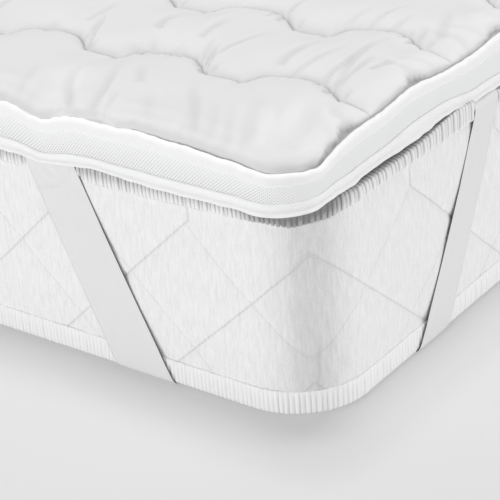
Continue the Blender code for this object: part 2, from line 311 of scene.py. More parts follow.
def quads(rows, columns, wrap_rows=False, wrap_columns=False):
    """Faces of a grid whose points are numbered row by row."""
    r = np.arange(rows if wrap_rows else rows - 1)[:, None]
    c = np.arange(columns if wrap_columns else columns - 1)[None, :]
    r_after = (r + 1) % rows
    c_after = (c + 1) % columns
    corners = (r * columns + c, r * columns + c_after, r_after * columns + c_after, r_after * columns + c)
    return np.stack(corners, -1).reshape(-1, 4)


def inside_out(points, faces):
    """Whether the four-sided faces of a closed shape point inwards."""
    a, b, c = (points.reshape(-1, 3)[faces[:, n]] for n in range(3))
    return (a * np.cross(b, c)).sum() < 0


def triples(first, second, third):
    """Three values for each point, from arrays of any shapes that fit together."""
    return np.stack(np.broadcast_arrays(first, second, third), -1).reshape(-1, 3)


def ring_points(outline, place, out, height):
    """Points of a ring: out and height are arrays of places by section points."""
    point, normal = outline.at(place)
    spot = point[:, None, :] + normal[:, None, :] * out[..., None]
    return np.concatenate([spot, height[..., None]], -1)


def closed_ring(name, outline, place, out, height, material, extra=None):
    """A ring with one closed section, faces pointing out."""
    points = ring_points(outline, place, out, height)
    faces = quads(len(place), out.shape[1], True, True)
    if inside_out(points, faces):
        faces = faces[:, ::-1]
    return add_mesh(name, points, faces, material, extra)


def ring_places(outline, near, far, fine_step, coarse_step):
    """Places round an outline, finer between near and far. The two ends of the
    ring meet behind the part, a small gap apart."""
    end = (outline.total - RING_GAP) / 2
    spans = ((-end, near, coarse_step), (near, far, fine_step), (far, end, coarse_step))
    parts = [np.linspace(a, b, max(2, ceil((b - a) / step) + 1))[:-1] for a, b, step in spans]
    return np.concatenate(parts + [[end]])


def even_phase(fine, pitch):
    """Repeats counted along fine places, at a pitch given for each of them, and
    their whole number."""
    phase = np.concatenate(([0.0], np.cumsum(np.diff(fine) / pitch[1:])))
    count = round(phase[-1])
    return phase * (count / phase[-1]), count


# ------------------------------------------------------------- materials

def new_material(name, colour, roughness, sheen):
    """A material, its node tree and its shader."""
    material = bpy.data.materials.new(name)
    material.use_nodes = True
    shader = material.node_tree.nodes["Principled BSDF"]
    shader.inputs["Base Color"].default_value = (*colour, 1.0)
    shader.inputs["Roughness"].default_value = roughness
    shader.inputs["Sheen Weight"].default_value = sheen
    shader.inputs["Sheen Roughness"].default_value = 0.5
    shader.inputs["Specular IOR Level"].default_value = 0.25
    return material, material.node_tree, shader


def node(tree, kind, settings=None, **inputs):
    """A new node with its settings and the values of its inputs."""
    made = tree.nodes.new(kind)
    for key, value in (settings or {}).items():
        setattr(made, key, value)
    for key, value in inputs.items():
        made.inputs[key].default_value = value
    return made


def attribute(tree, name, output="Fac"):
    """A value that is stored with the mesh's points."""
    return node(tree, "ShaderNodeAttribute", {"attribute_name": name}).outputs[output]


def noise(tree, scale, detail, roughness=0.5):
    """Noise in the cloth's own coordinates: along, up or across, and off the surface."""
    mapping = node(tree, "ShaderNodeMapping", Scale=scale)
    tree.links.new(attribute(tree, "cloth", "Vector"), mapping.inputs["Vector"])
    made = node(tree, "ShaderNodeTexNoise", Scale=1.0, Detail=detail, Roughness=roughness)
    tree.links.new(mapping.outputs["Vector"], made.inputs["Vector"])
    return made.outputs["Fac"]


def tint(tree, shader, amount, low, high, span=(0.3, 0.7)):
    """Colours the shader between two colours by a pattern."""
    ramp = node(tree, "ShaderNodeValToRGB")
    for element, position, colour in zip(ramp.color_ramp.elements, span, (low, high)):
        element.position = position
        element.color = (*colour, 1.0)
    tree.links.new(amount, ramp.inputs["Fac"])
    tree.links.new(ramp.outputs["Color"], shader.inputs["Base Color"])


def bump(tree, shader, height, strength, distance):
    """Roughens the shader's surface by a pattern."""
    made = node(tree, "ShaderNodeBump", Strength=strength, Distance=distance)
    tree.links.new(height, made.inputs["Height"])
    tree.links.new(made.outputs["Normal"], shader.inputs["Normal"])


def math_node(tree, operation, *values):
    """One sum. Each value is a number or another node's output."""
    made = node(tree, "ShaderNodeMath", {"operation": operation})
    for slot, value in zip(made.inputs, values):
        if isinstance(value, (int, float)):
            slot.default_value = value
        else:
            tree.links.new(value, slot)
    return made.outputs["Value"]


def mixed(tree, first, second, share):
    """The second pattern with a share of the first added."""
    return math_node(tree, "MULTIPLY_ADD", first, share, second)


def quilted_material():
    """Smooth cover of the topper, with painted shade in its seams, creases, hollows and along its rim."""
    material, tree, shader = new_material("quilted_cover", (0.88, 0.88, 0.885), 0.8, 0.15)
    fine = noise(tree, (1400, 1400, 1400), 3.0)
    broad = noise(tree, (14, 14, 14), 3.0)
    # Painted shade stored with the mesh's points, with a little random tone added
    mix = mixed(tree, broad, attribute(tree, "painted_shade"), 0.08)
    tint(tree, shader, mix, (0.815, 0.815, 0.82), (0.40, 0.40, 0.405), (0.0, 1.0))
    bump(tree, shader, fine, 0.25, 0.15 * MM)
    return material


def tape_material():
    """White binding tape of the topper."""
    material, tree, shader = new_material("white_tape", (0.93, 0.93, 0.935), 0.5, 0.2)
    fine = noise(tree, (1200, 300, 300), 2.0)
    tint(tree, shader, fine, (0.93, 0.93, 0.935), (0.965, 0.965, 0.97))
    bump(tree, shader, fine, 0.3, 0.15 * MM)
    return material


def mesh_material():
    """Spacer mesh: painted shade darkens its small holes, and on the long sides the whole strip."""
    material, tree, shader = new_material("spacer_mesh", (0.84, 0.86, 0.86), 0.75, 0.1)
    fine = noise(tree, (900, 900, 900), 2.0)
    mix = mixed(tree, fine, attribute(tree, "painted_darkening"), 0.1)
    tint(tree, shader, mix, (0.975, 0.98, 0.98), (0.38, 0.39, 0.39), (0.1, 1.0))
    bump(tree, shader, fine, 0.3, 0.1 * MM)
    return material


def quilting_lines(tree):
    """1 in the painted shade of the diamond quilting's stitched lines, broken into stitches."""
    total = 0.0
    lower = attribute(tree, "below_hooks")
    for key, (slope, _, _, pitch) in (("end_lines", END_LINES), ("side_lines", SIDE_LINES)):
        split = node(tree, "ShaderNodeSeparateXYZ")
        tree.links.new(attribute(tree, key, "Vector"), split.inputs["Vector"])
        real_pitch = pitch / (1 + slope * slope) ** 0.5
        for across, along, weight in (("X", "Y", 1.0), ("Y", "X", 0.5)):
            off = math_node(tree, "PINGPONG", split.outputs[across], 0.5)
            near = math_node(tree, "MULTIPLY_ADD", off, -real_pitch / LINE_WIDTH, 1.0)
            near = math_node(tree, "MAXIMUM", near, 0.0)
            step = math_node(tree, "MULTIPLY", split.outputs[along], pitch / (2 * LINE_STITCH))
            dash = math_node(tree, "PINGPONG", step, 0.5)
            dash = math_node(tree, "MULTIPLY_ADD", dash, STITCH_SHADE * weight, LINE_SHADE * weight)
            near = math_node(tree, "MULTIPLY", near, dash)
            near = math_node(tree, "MULTIPLY", near, split.outputs["Z"])
            if across == "Y":
                near = math_node(tree, "MULTIPLY", near, lower)
            total = math_node(tree, "ADD", near, total)
    return math_node(tree, "MINIMUM", total, 1.0)


def knit_material():
    """Vertical knit of the mattress's side, with painted shade in its quilting lines, its rounded corners
    and a low corner fold.
    """
    material, tree, shader = new_material("mattress_cover", (0.88, 0.88, 0.88), 0.85, 0.1)
    wales = noise(tree, (420, 60, 60), 4.0, 0.65)
    yarn = noise(tree, (1100, 500, 500), 2.0)
    marked = mixed(tree, quilting_lines(tree), mixed(tree, yarn, wales, 0.35), -0.66)
    marked = mixed(tree, attribute(tree, "painted_shade"), marked, -0.55)
    tint(tree, shader, marked, (0.70, 0.70, 0.70), (0.945, 0.945, 0.945), (0.0, 0.80))
    bump(tree, shader, marked, 0.8, 0.6 * MM)
    return material


def ribbed_material():
    """Binding tape of the mattress, with painted shade between its ribs and under the topper."""
    material, tree, shader = new_material("mattress_tape", (0.92, 0.92, 0.92), 0.7, 0.15)
    yarn = noise(tree, (1500, 250, 250), 3.0)
    mix = mixed(tree, yarn, attribute(tree, "painted_darkening"), 0.12)
    tint(tree, shader, mix, (0.985, 0.985, 0.985), (0.26, 0.26, 0.265), (0.06, 1.0))
    bump(tree, shader, yarn, 0.5, 0.25 * MM)
    return material


def elastic_material():
    """Woven elastic: fine cords along the strap. Its back and its edge towards the corner get a dark
    painted shade.
    """
    material, tree, shader = new_material("elastic", (0.75, 0.75, 0.755), 0.6, 0.1)
    cords = noise(tree, (40, 1500, 1), 2.0)
    mix = mixed(tree, cords, attribute(tree, "back"), 0.12)
    tint(tree, shader, mix, (0.825, 0.825, 0.83), (0.16, 0.16, 0.16), (0.05, 1.0))
    bump(tree, shader, cords, 0.4, 0.2 * MM)
    return material


def floor_material():
    """A pale table that glows a little, so that shadows on it stay light."""
    material, _, shader = new_material("studio_floor", (0.47, 0.47, 0.47), 0.9, 0.0)
    shader.inputs["Emission Color"].default_value = (1.0, 1.0, 1.0, 1.0)
    shader.inputs["Emission Strength"].default_value = 0.27
    return material


# ------------------------------------------------------ topper: quilted top

def motif_swing(share):
    """Swing of a channel: a smooth curve through the motif, but for its sharp turns."""
    along, across, sharp = np.array(MOTIF).T
    width = np.diff(along)
    step = np.diff(across) / width
    inner = (step[:-1] * width[1:] + step[1:] * width[:-1]) / (width[:-1] + width[1:])
    slope_in = np.concatenate(([step[0]], inner, [step[-1]]))
    slope_out = slope_in.copy()
    for turn in np.flatnonzero(sharp[1:-1]) + 1:
        slope_in[turn] = step[turn - 1]
        slope_out[turn] = step[turn]
    share = np.asarray(share) % 1.0
    part = np.clip(np.searchsorted(along, share, side="right") - 1, 0, len(step) - 1)
    t = (share - along[part]) / width[part]
    first, second = across[part], across[part + 1]
    rise, fall = slope_out[part] * width[part], slope_in[part + 1] * width[part]
    return (first * (1 + 2 * t) * (1 - t) ** 2 + rise * t * (1 - t) ** 2
            + second * t * t * (3 - 2 * t) + fall * t * t * (t - 1))


def motif_left(repeat, share):
    """Distance from the topper's right edge of a place in a repeat of the motif."""
    return MOTIF_START + (repeat + 1 - share) * MOTIF_PERIOD


def channel_y(number, x, half):
    """Where a channel crosses x, from the topper's middle."""
    base = -half[1] + FIRST_CHANNEL + number * CHANNEL_PITCH
    return base + motif_swing((x - half[0] + MOTIF_START) / MOTIF_PERIOD)


def channel_steepness(x, half):
    """0 where the channels run across, towards 1 where they run steeply."""
    step = 1.0 * MM
    slope = (channel_y(0, x + step, half) - channel_y(0, x - step, half)) / (2 * step)
    return smooth(np.abs(slope) / STEEP_SLOPE)


def channel_gap(number, x, y, half):
    """Distance of rows of points from a channel, which runs on past both edges."""
    curve = [channel_y(number, x + offset, half) for offset in GAP_PLACES]
    best = np.full(y.shape, 1.0)
    for n in range(len(GAP_PLACES) - 1):
        offset = GAP_PLACES[n]
        run = GAP_PLACES[n + 1] - offset
        rise = curve[n + 1] - curve[n]
        reach = y - curve[n]
        share = np.clip((rise * reach - run * offset) / (run * run + rise * rise), 0.0, 1.0)
        best = np.minimum(best, np.hypot(offset + share * run, reach - share * rise))
    return best


def quilt_columns(half):
    """Places across the topper: fine on the right, and close to both edges."""
    fine = np.arange(half - FINE_WIDTH, half - EDGE_STEPS[-1] - FINE_STEP / 2, FINE_STEP)
    middle = np.arange(half - MIDDLE_WIDTH, fine[0] - MIDDLE_STEP / 2, MIDDLE_STEP)
    coarse = np.arange(-half + EDGE_STEPS[-1], middle[0] - COARSE_STEP / 2, COARSE_STEP)
    return np.concatenate([EDGE_STEPS[:-1] - half, coarse, middle, fine, half - EDGE_STEPS[::-1]])


def even_rows(start, end, width, step):
    """Rows spaced evenly over a share of a band of the given width."""
    return np.linspace(start, end, ceil((end - start) * width / step) + 1)


def band_shares(band, width):
    """Shares of the way across a band of filling at which it has a row of points."""
    edge = EDGE_STEPS / width
    near = CHANNEL_STEPS / width
    if band < 0:
        middle = even_rows(edge[-1], 1 - near[-1], width, FINE_STEP)
        return np.concatenate([edge[:-1], middle, 1 - near[-2:0:-1]])
    if band == CHANNEL_COUNT - 1:
        return np.concatenate([COARSE_ROWS[COARSE_ROWS < 1 - edge[-1] - ROW_MARGIN], 1 - edge[::-1]])
    if band >= MIDDLE_BANDS:
        return COARSE_ROWS
    step = FINE_STEP if band < FINE_BANDS else MIDDLE_ROW_STEP
    middle = even_rows(near[-1], 1 - near[-1], width, step)
    return np.concatenate([near[:-1], middle, 1 - near[-2:0:-1]])


def swelling(share):
    """How far the filling swells, by the share of the way in from its seam."""
    return np.sqrt(1 - (1 - np.minimum(share, 1.0)) ** 2)


def quilt_rows(x, half, inner):
    """Rows of the quilted top, which follow its channels: y, height of the puffs
    and distance from the nearest channel for each row and column."""
    rows, puffs, gaps = [], [], []
    for band in range(-1, CHANNEL_COUNT):
        first, last = band < 0, band == CHANNEL_COUNT - 1
        low = np.full_like(x, -inner[1]) if first else channel_y(band, x, half)
        high = np.full_like(x, inner[1]) if last else channel_y(band + 1, x, half)
        shares = band_shares(band, float(np.mean(high - low)))
        y = low + (high - low) * shares[:, None]
        puff = np.ones_like(y)
        nearest = np.ones_like(y)
        for number, real in ((band, not first), (band + 1, not last)):
            if real:
                gap = channel_gap(number, x, y, half)
                nearest = np.minimum(nearest, gap)
                puff = puff * swelling(gap / PUFF_REACH)
        rows.append(y)
        puffs.append(puff)
        gaps.append(nearest)
    return np.concatenate(rows), np.concatenate(puffs), np.concatenate(gaps)


def round_corners(x, y, inner, radius):
    """Bends a rectangle's grid so that its outer edge follows round corners."""
    a = np.clip((np.abs(x) - (inner[0] - radius)) / radius, 0.0, 1.0)
    b = np.clip((np.abs(y) - (inner[1] - radius)) / radius, 0.0, 1.0)
    in_corner = (a > 0) & (b > 0)
    new_x = np.sign(x) * (inner[0] - radius + radius * a * np.sqrt(1 - b * b / 2))
    new_y = np.sign(y) * (inner[1] - radius + radius * b * np.sqrt(1 - a * a / 2))
    return np.where(in_corner, new_x, x), np.where(in_corner, new_y, y)


# Creases placed at the photographed corner, from one end to the other.
# left and behind are distances from the topper's right and front edges, and
# bow is how far the middle swings to the left. A crease with a depth under
# zero is a ridge.
NEAR_CREASES = MM * np.array((
    # left, behind, left end, behind end, bow, width, depth, in mm
    # in the first band, from the border
    (206, 4, 228, 40, 0, 3.2, 1.6),
    (197, 3, 245, 80, 11, 4.0, 2.0),
    (181, 3, 226, 96, 0, 4.8, 2.0),
    (176, 4, 188, 44, -3, 3.4, 1.4),
    (177, 56, 211, 94, 0, 6.2, 1.3),
    (85, 4, 160, 96, 0, 7.1, 1.9),
    (71, 4, 122, 78, 0, 5.7, 1.3),
    (58, 5, 106, 78, 0, 5.7, 1.2),
    (48, 12, 88, 94, 0, 7.6, 1.4),
    (39, 14, 64, 100, -5, 6.6, -1.3),
    (20, 20, 37, 80, 0, 6.6, 1.6),
    (18, 78, 34, 96, 0, 5.7, 1.2),
    (255, 4, 288, 70, 0, 5.7, 1.0),
    (300, 4, 322, 60, 0, 6.6, 0.9),
    (128, 4, 170, 60, 0, 5.7, 0.9),
    # in the second band
    (331, 115, 340, 150, 0, 6.0, 2.2),
    (277, 104, 311, 180, 0, 2.7, 3.2),
    (292, 118, 300, 160, 0, 3.1, 1.6),
    (312, 150, 321, 215, 0, 4.7, 1.6),
    (213, 108, 254, 133, 0, 3.8, 2.0),
    (212, 115, 240, 152, 0, 3.4, 1.8),
    (241, 158, 241, 213, 12, 6.0, 2.4),
    (199, 114, 211, 150, 0, 2.4, 1.8),
    (192, 117, 209, 156, 0, 2.4, 1.8),
    (158, 101, 182, 165, 0, 2.7, 4.6),
    (170, 112, 190, 172, 0, 2.2, 2.4),
    (168, 130, 158, 208, 0, 2.4, 2.4),
    (198, 158, 203, 220, 4, 5.1, 2.0),
    (228, 205, 213, 230, 0, 4.2, 1.6),
    (107, 138, 105, 210, 7, 5.1, 2.4),
    (90, 122, 82, 208, 2, 3.6, 1.8),
    (64, 117, 65, 192, 0, 2.7, 2.4),
    (48, 108, 53, 145, 0, 2.4, 3.2),
    (45, 125, 72, 195, 0, 4.2, 1.9),
    (48, 132, 49, 192, 0, 3.1, 3.0),
    (58, 158, 64, 230, 4, 4.2, 2.6),
    (37, 156, 29, 190, 0, 3.6, 2.6),
    # in the third band
    (185, 228, 186, 258, 0, 2.4, 2.3),
    (172, 225, 174, 292, 4, 2.5, 3.0),
    (114, 248, 117, 292, 0, 3.4, 1.2),
    (92, 238, 84, 322, 8, 2.5, 1.5),
    (76, 236, 74, 298, 0, 3.1, 1.8),
    (48, 222, 52, 275, -2, 2.7, 2.7),
    (61, 232, 60, 264, 0, 2.4, 1.8),
    (29, 244, 52, 316, 0, 5.1, 1.8),
))
# Where the filling draws back from the border's tape, so that a hollow shows; its darkness is partly
# painted shade
HOLLOWS = (
    # place, reach, how far
    (-0.207, 0.010, 2.0 * MM),
    (-0.172, 0.012, 5.0 * MM),
    (0.016, 0.008, 2.0 * MM),
    (0.037, 0.007, 3.0 * MM),
    (0.057, 0.010, 6.5 * MM),
    (0.162, 0.009, 6.5 * MM),
)
# The pocket behind a kink: how far to its left and behind it the two ends lie
POCKET_START = (-1.0 * MM, -4.0 * MM)
POCKET_END = (3.0 * MM, 22.0 * MM)
POCKET_DEPTH = 1.9 * MM
POCKET_WIDTH = 3.4 * MM
COARSE_POCKET_WIDTH = 6.0 * MM

# Creases over the rest of the top. What has two limits, in mm, lies between them.
FAR_CREASES = 7
# In each repeat of the motif the first few gather just before its kink
KINK_CREASES = 3
KINK_CREASE_PLACE = 0.72
KINK_CREASE_SPREAD = 0.12
FAR_MARGIN = 0.03
FAR_START = (-3.0, 17.0)
FAR_LENGTH = (40.0, 90.0)
FAR_LEAN = (-8.8, 13.2)
FAR_WIDTH = (3.6, 6.0)
FAR_DEPTH = (0.9, 2.3)
COARSE_CREASE = 2.1
FIRST_CREASE = 4.0 * MM

# Hollows and gathers along the rest of the border's seam: they begin past the
# photographed corner and end before it
HOLLOWS_RUN = (0.29, 0.30)
HOLLOW_REACH = (12.0, 20.0)
HOLLOW_STEP = (40.0, 90.0)
HOLLOW_MOST = 6.0 * MM
GATHERS_RUN = (0.16, 0.31)
GATHER_REACH = (24.0, 74.0)
GATHER_MOST_REACH = 0.09
GATHER_WIDTH = (6.0, 12.0)
NEAR_GATHER_WIDTH = 0.6
GATHER_DEPTH = (0.8, 2.6)
GATHER_STEP = (16.0, 50.0)
GATHER_LEAN = 0.9

SOFT_WAVES = 26
SOFT_LENGTH = (45.0, 165.0)
SOFT_SIZE = 0.18 * MM
SOFT_LEAST = 0.3


def spread(limits, draw):
    """A length between two limits in mm, by a draw between 0 and 1."""
    low, high = limits
    return (low + (high - low) * draw) * MM


def trough(off):
    """A soft trough, 1 in its middle, with a low ridge to each side."""
    return (1 - 0.5 * off * off) * np.exp(-off * off / 1.7)


def press_crease(height, x, y, half, crease):
    """Presses one crease into the heights: it widens along the way and fades at
    both ends."""
    left_from, behind_from, left_to, behind_to, bow, width, depth = crease
    reach = 4 * width + abs(bow)
    columns = x[0]
    first = np.searchsorted(columns, half[0] - max(left_from, left_to) - reach)
    last = np.searchsorted(columns, half[0] - min(left_from, left_to) + reach)
    if last - first < 2:
        return
    middle = y[:, (first + last) // 2]
    slack = reach + MOTIF_SWING
    low = np.searchsorted(middle, min(behind_from, behind_to) - slack - half[1])
    high = np.searchsorted(middle, max(behind_from, behind_to) + slack - half[1])
    part = (slice(low, high), slice(first, last))
    left = half[0] - x[part] - left_from
    behind = half[1] + y[part] - behind_from
    run_left, run_behind = left_to - left_from, behind_to - behind_from
    length = np.hypot(run_left, run_behind)
    along = (left * run_left + behind * run_behind) / length ** 2
    inside = np.clip(along, 0.0, 1.0)
    off = (left * run_behind - behind * run_left) / length - bow * 4 * inside * (1 - inside)
    off = off / (width * (0.75 + 0.5 * inside))
    fade = smooth(along * 8) * smooth((1 - along) * 1.8)
    height[part] -= depth * fade * trough(off)


def channel_pockets(half):
    """A short deep pocket behind every kink of the channels."""
    for band in range(CHANNEL_COUNT):
        for repeat in range(ceil(2 * half[0] / MOTIF_PERIOD)):
            left = motif_left(repeat, KINK)
            behind = float(channel_y(band, half[0] - left, half) + half[1])
            fine = band <= FINE_BANDS and left < FINE_WIDTH
            width = POCKET_WIDTH if fine else COARSE_POCKET_WIDTH
            start = left + POCKET_START[0], behind + POCKET_START[1]
            end = left + POCKET_END[0], behind + POCKET_END[1]
            yield (*start, *end, 0.0, width, POCKET_DEPTH)


def far_creases(half, random):
    """Creases all over the rest of the top, gathered by the sewing."""
    for band in range(-1, CHANNEL_COUNT):
        for repeat in range(ceil(2 * half[0] / MOTIF_PERIOD) + 1):
            for index, draw in enumerate(random.random((FAR_CREASES, 6))):
                share = draw[0]
                if index < KINK_CREASES:
                    share = KINK_CREASE_PLACE - KINK_CREASE_SPREAD * share
                left = motif_left(repeat, share)
                if left < MIDDLE_WIDTH - FAR_MARGIN and band < FINE_BANDS:
                    continue
                seam = float(channel_y(band, half[0] - left, half)) + half[1] if band >= 0 else FIRST_CREASE
                start = seam + spread(FAR_START, draw[1])
                end = start + spread(FAR_LENGTH, draw[4])
                coarse = 1.0 if left < MIDDLE_WIDTH and band < MIDDLE_BANDS else COARSE_CREASE
                width = spread(FAR_WIDTH, draw[3]) * coarse
                depth = spread(FAR_DEPTH, draw[2])
                yield left, start, left + spread(FAR_LEAN, draw[5]), end, 0.0, width, depth


def hollow_depth(topper, place, random):
    """How far the filling draws back from the border at each place."""
    rows = list(HOLLOWS)
    at = HOLLOWS_RUN[0]
    while at < topper.total - HOLLOWS_RUN[1]:
        draws = random.random(3)
        rows.append((at, spread(HOLLOW_REACH, draws[0]), HOLLOW_MOST * draws[1] ** 2))
        at += spread(HOLLOW_STEP, draws[2])
    return sum(size * bell(topper.signed(place - middle), reach) for middle, reach, size in rows)


def border_gathers(topper, place, inside, random):
    """Small gathers along the rest of the border seam, which fade inwards."""
    near = inside < GATHER_MOST_REACH
    spot, deep = place[near], inside[near]
    total = np.zeros_like(deep)
    at = GATHERS_RUN[0]
    while at < topper.total - GATHERS_RUN[1]:
        draws = random.random(5)
        width = spread(GATHER_WIDTH, draws[1]) * (NEAR_GATHER_WIDTH if at < NEAR_SIDE else 1.0)
        off = (topper.signed(spot - at) - GATHER_LEAN * (draws[4] - 0.5) * deep) / width
        fade = smooth(1 - deep / spread(GATHER_REACH, draws[0]))
        total -= spread(GATHER_DEPTH, draws[2]) * fade * trough(off)
        at += spread(GATHER_STEP, draws[3])
    result = np.zeros_like(inside)
    result[near] = total
    return result


def soft_unevenness(x, y, random):
    """Slow unevenness of the filling."""
    total = np.zeros_like(y)
    for _ in range(SOFT_WAVES):
        angle, size, phase, share = random.random(4)
        across = x * cos(angle * pi) + y * sin(angle * pi)
        total += (SOFT_LEAST + share) * np.sin(tau * (across / spread(SOFT_LENGTH, size) + phase))
    return total * SOFT_SIZE


# Rings of the pad's side below the seam
PAD_SIDE = MM * np.array((
    # inset, height, in mm
    (4.5, 213.5),
    (4.2, 188.0),
    (5.4, 182.8),
    (9.0, 180.6),
    (18.0, 180.3),
))


def pad_side(topper, mattress, place):
    """Rings of points below the rim of the quilted top, down and in under it."""
    point, facing = topper.at(place)
    rings = []
    for inset, height in PAD_SIDE:
        out, up = border_move(topper, mattress, place, height)
        moves = height > TAPE_BASE
        spot = point + facing * (out * moves - inset)[:, None]
        rings.append(np.concatenate([spot, (height + up * moves)[:, None]], -1))
    return rings


def quilt_shade(wrinkles, gap, steep, held, pit, on_side):
    """How much painted shade each point of the quilted top gets: in its seams and creases, along its rim
    and in the hollows beside the border.
    """
    shade = (SEAM_SHADE + STEEP_SHADE * steep) * bell(gap, SEAM_SHADE_REACH)
    shade = shade + CREASE_SHADE * np.clip(-wrinkles / CREASE_FULL, 0.0, 1.0)
    shade = shade + (RIM_SHADE + SIDE_RIM_SHADE * on_side) * bell(held, RIM_SHADE_REACH)
    shade = shade + END_SHADE * (1 - on_side) * bell(held, END_SHADE_REACH)
    return np.clip(shade + PIT_SHADE * pit / PIT_DEPTH, 0.0, 1.0)


def make_quilt(topper, mattress, material):
    """The filled body of the topper with its quilted top."""
    random = np.random.default_rng(SEED)
    half = topper.half
    inner = half - SEAM_INSET
    columns = quilt_columns(inner[0])
    rows, puff, gap = quilt_rows(columns, half, inner)
    steep = channel_steepness(columns, half)
    flat_x = np.broadcast_to(columns, rows.shape)
    flat_y = np.clip(rows, -inner[1], inner[1])
    creases = np.zeros_like(flat_y)
    for crease in (*NEAR_CREASES, *channel_pockets(half), *far_creases(half, random)):
        press_crease(creases, flat_x, flat_y, half, crease)
    x, y = round_corners(flat_x, flat_y, inner, topper.radius - SEAM_INSET)
    x = x + topper.centre[0]
    y = y + topper.centre[1]
    depth, place = topper.nearest(x, y, CORNER_TURN)
    inside = np.maximum(depth - SEAM_INSET, 0.0)
    _, normal = topper.at(place)
    on_side = normal[..., 0] ** 2
    hollow = hollow_depth(topper, place, random)
    held = np.maximum(inside - hollow - RIM_SIDE_DRAW * on_side, 0.0)
    pit = np.clip(hollow - inside - PIT_START, 0.0, PIT_DEPTH)
    edge = swelling(held / EDGE_REACH)
    wrinkles = creases + border_gathers(topper, place, inside, random)
    rim_up = pucker(place, random, *RIM_PUCKER) + RIM_END_RISE * (1 - on_side)
    _, seam_up = border_move(topper, mattress, place, SEAM_HEIGHT)
    seam_up = seam_up * smooth(1 - inside / SEAM_WAVE_REACH)
    z = RIM_HEIGHT + rim_up * smooth(1 - inside / RIM_REACH) + seam_up - pit
    z = z + edge * (CHANNEL_RISE + PUFF_HEIGHT * puff)
    z = z + edge * wrinkles * (CREASE_LEAST + (1 - CREASE_LEAST) * smooth(puff * CREASE_GROWTH))
    z = z - edge * SEW_DEPTH * (SEW_LEAST + (1 - SEW_LEAST) * steep) * bell(gap, SEW_WIDTH)
    z = z + edge * soft_unevenness(x, y, random)
    lean_out = RIM_BULGE * np.sin(pi * np.clip(held / RIM_REACH, 0, 1))
    top = triples(x + normal[..., 0] * lean_out, y + normal[..., 1] * lean_out, z)
    index = np.arange(rows.size).reshape(rows.shape)
    rim = np.concatenate([index[0, :-1], index[:-1, -1], index[-1, :0:-1], index[:0:-1, 0]])
    rings = pad_side(topper, mattress, place.ravel()[rim])
    points = np.concatenate([top, *rings])
    faces = quads(*rows.shape).tolist()
    loops = [rim] + [rows.size + n * len(rim) + np.arange(len(rim)) for n in range(len(rings))]
    for upper, lower in zip(loops, loops[1:]):
        faces += np.stack([lower, np.roll(lower, -1), np.roll(upper, -1), upper], -1).tolist()
    faces.append(loops[-1][::-1].tolist())
    # Painted shade of the quilted top; the pad's side below the rim gets none
    shade = quilt_shade(wrinkles, gap, steep, held, pit, on_side).ravel()
    shade = np.append(shade, np.zeros(len(points) - rows.size))
    return add_mesh("quilt", points, faces, material, {"cloth": points, "painted_shade": shade})


# ------------------------------------------------- topper: border and tapes

PUCKER_WAVES = 7
PUCKER_LENGTHS = (0.7, 2.3)
BINDING_STEPS = (2.2 * MM, 4.5 * MM)
# The puckers that lift a tape are longer and lower than those that push it out
LIFT_PUCKER = (1.4, 0.8)


def pucker(place, random, pitch, size):
    """Small uneven puckers along a sewn edge."""
    total = np.zeros_like(place)
    least, most = PUCKER_LENGTHS
    for _ in range(PUCKER_WAVES):
        draws = random.random(2)
        length = pitch * (least + (most - least) * draws[0])
        total += np.sin(tau * (place / length + draws[1]))
    return total * size * 2 / PUCKER_WAVES


TAPE_UNITS = np.array((MM, MM, 1))
UPPER_TAPE = TAPE_UNITS * np.array((
    # inset, height, in mm, and pucker share
    (0.9, 208.8, 0.3),
    (0.35, 209.0, 0.5),
    (0.05, 209.8, 0.6),
    (0.10, 211.2, 0.4),
    (0.00, 213.0, 0.5),
    (-0.10, 215.0, 0.8),
    (0.05, 216.8, 1.0),
    (0.60, 218.4, 1.0),
    (1.50, 219.4, 1.0),
    (2.70, 219.7, 0.8),
    (3.80, 219.0, 0.4),
    (3.90, 217.8, 0.0),
    (1.60, 216.0, 0.0),
    (1.60, 209.2, 0.0),
))
LOWER_TAPE = TAPE_UNITS * np.array((
    # inset, height, in mm, and pucker share
    (1.90, 189.6, 0.0),
    (1.25, 191.0, 0.2),
    (0.60, 191.3, 0.4),
    (0.05, 190.9, 0.6),
    (-0.30, 189.9, 0.6),
    (0.00, 188.9, 0.4),
    (0.45, 188.0, 0.3),
    (0.70, 186.2, 0.4),
    (0.45, 184.4, 0.6),
    (-0.20, 183.5, 0.8),
    (-0.95, 182.8, 1.0),
    (-1.20, 181.8, 1.0),
    (-0.80, 180.8, 1.0),
    (0.30, 180.3, 0.8),
    (2.00, 180.6, 0.4),
    (3.90, 180.8, 0.0),
    (3.60, 182.2, 0.0),
    (1.90, 182.8, 0.0),
))
# The bindings are meshed more finely between these places
NEAR_SIDE = 0.62
NEAR_FRONT = -0.50


def make_binding(name, topper, mattress, section, material, pitch, size, seed):
    """A binding tape of the topper: folded section with small puckers."""
    random = np.random.default_rng(seed)
    place = ring_places(topper, NEAR_FRONT, NEAR_SIDE, *BINDING_STEPS)
    inset, level, puckered = section.T
    height = np.broadcast_to(level, (len(place), len(level)))
    out, up = border_move(topper, mattress, place[:, None], height)
    out = out - inset + pucker(place, random, pitch, size)[:, None] * puckered
    up = up + pucker(place, random, pitch * LIFT_PUCKER[0], size * LIFT_PUCKER[1])[:, None] * puckered
    cloth = triples(place[:, None], height, inset)
    return closed_ring(name, topper, place, out, height + up, material, {"cloth": cloth})


# Spacer mesh: holes in staggered rows, closer together where they show
HOLE_NEAR = 2.9 * MM
HOLE_FAR = 5.6 * MM
HOLE_ROWS = 14
NEAR_MESH = (-0.25, 0.33)
MESH_LOW = 0.1896
MESH_HIGH = 0.2098
MESH_INSET = 0.9 * MM
MESH_BACK = 2.6 * MM
HOLE_DEPTH = 0.45 * MM
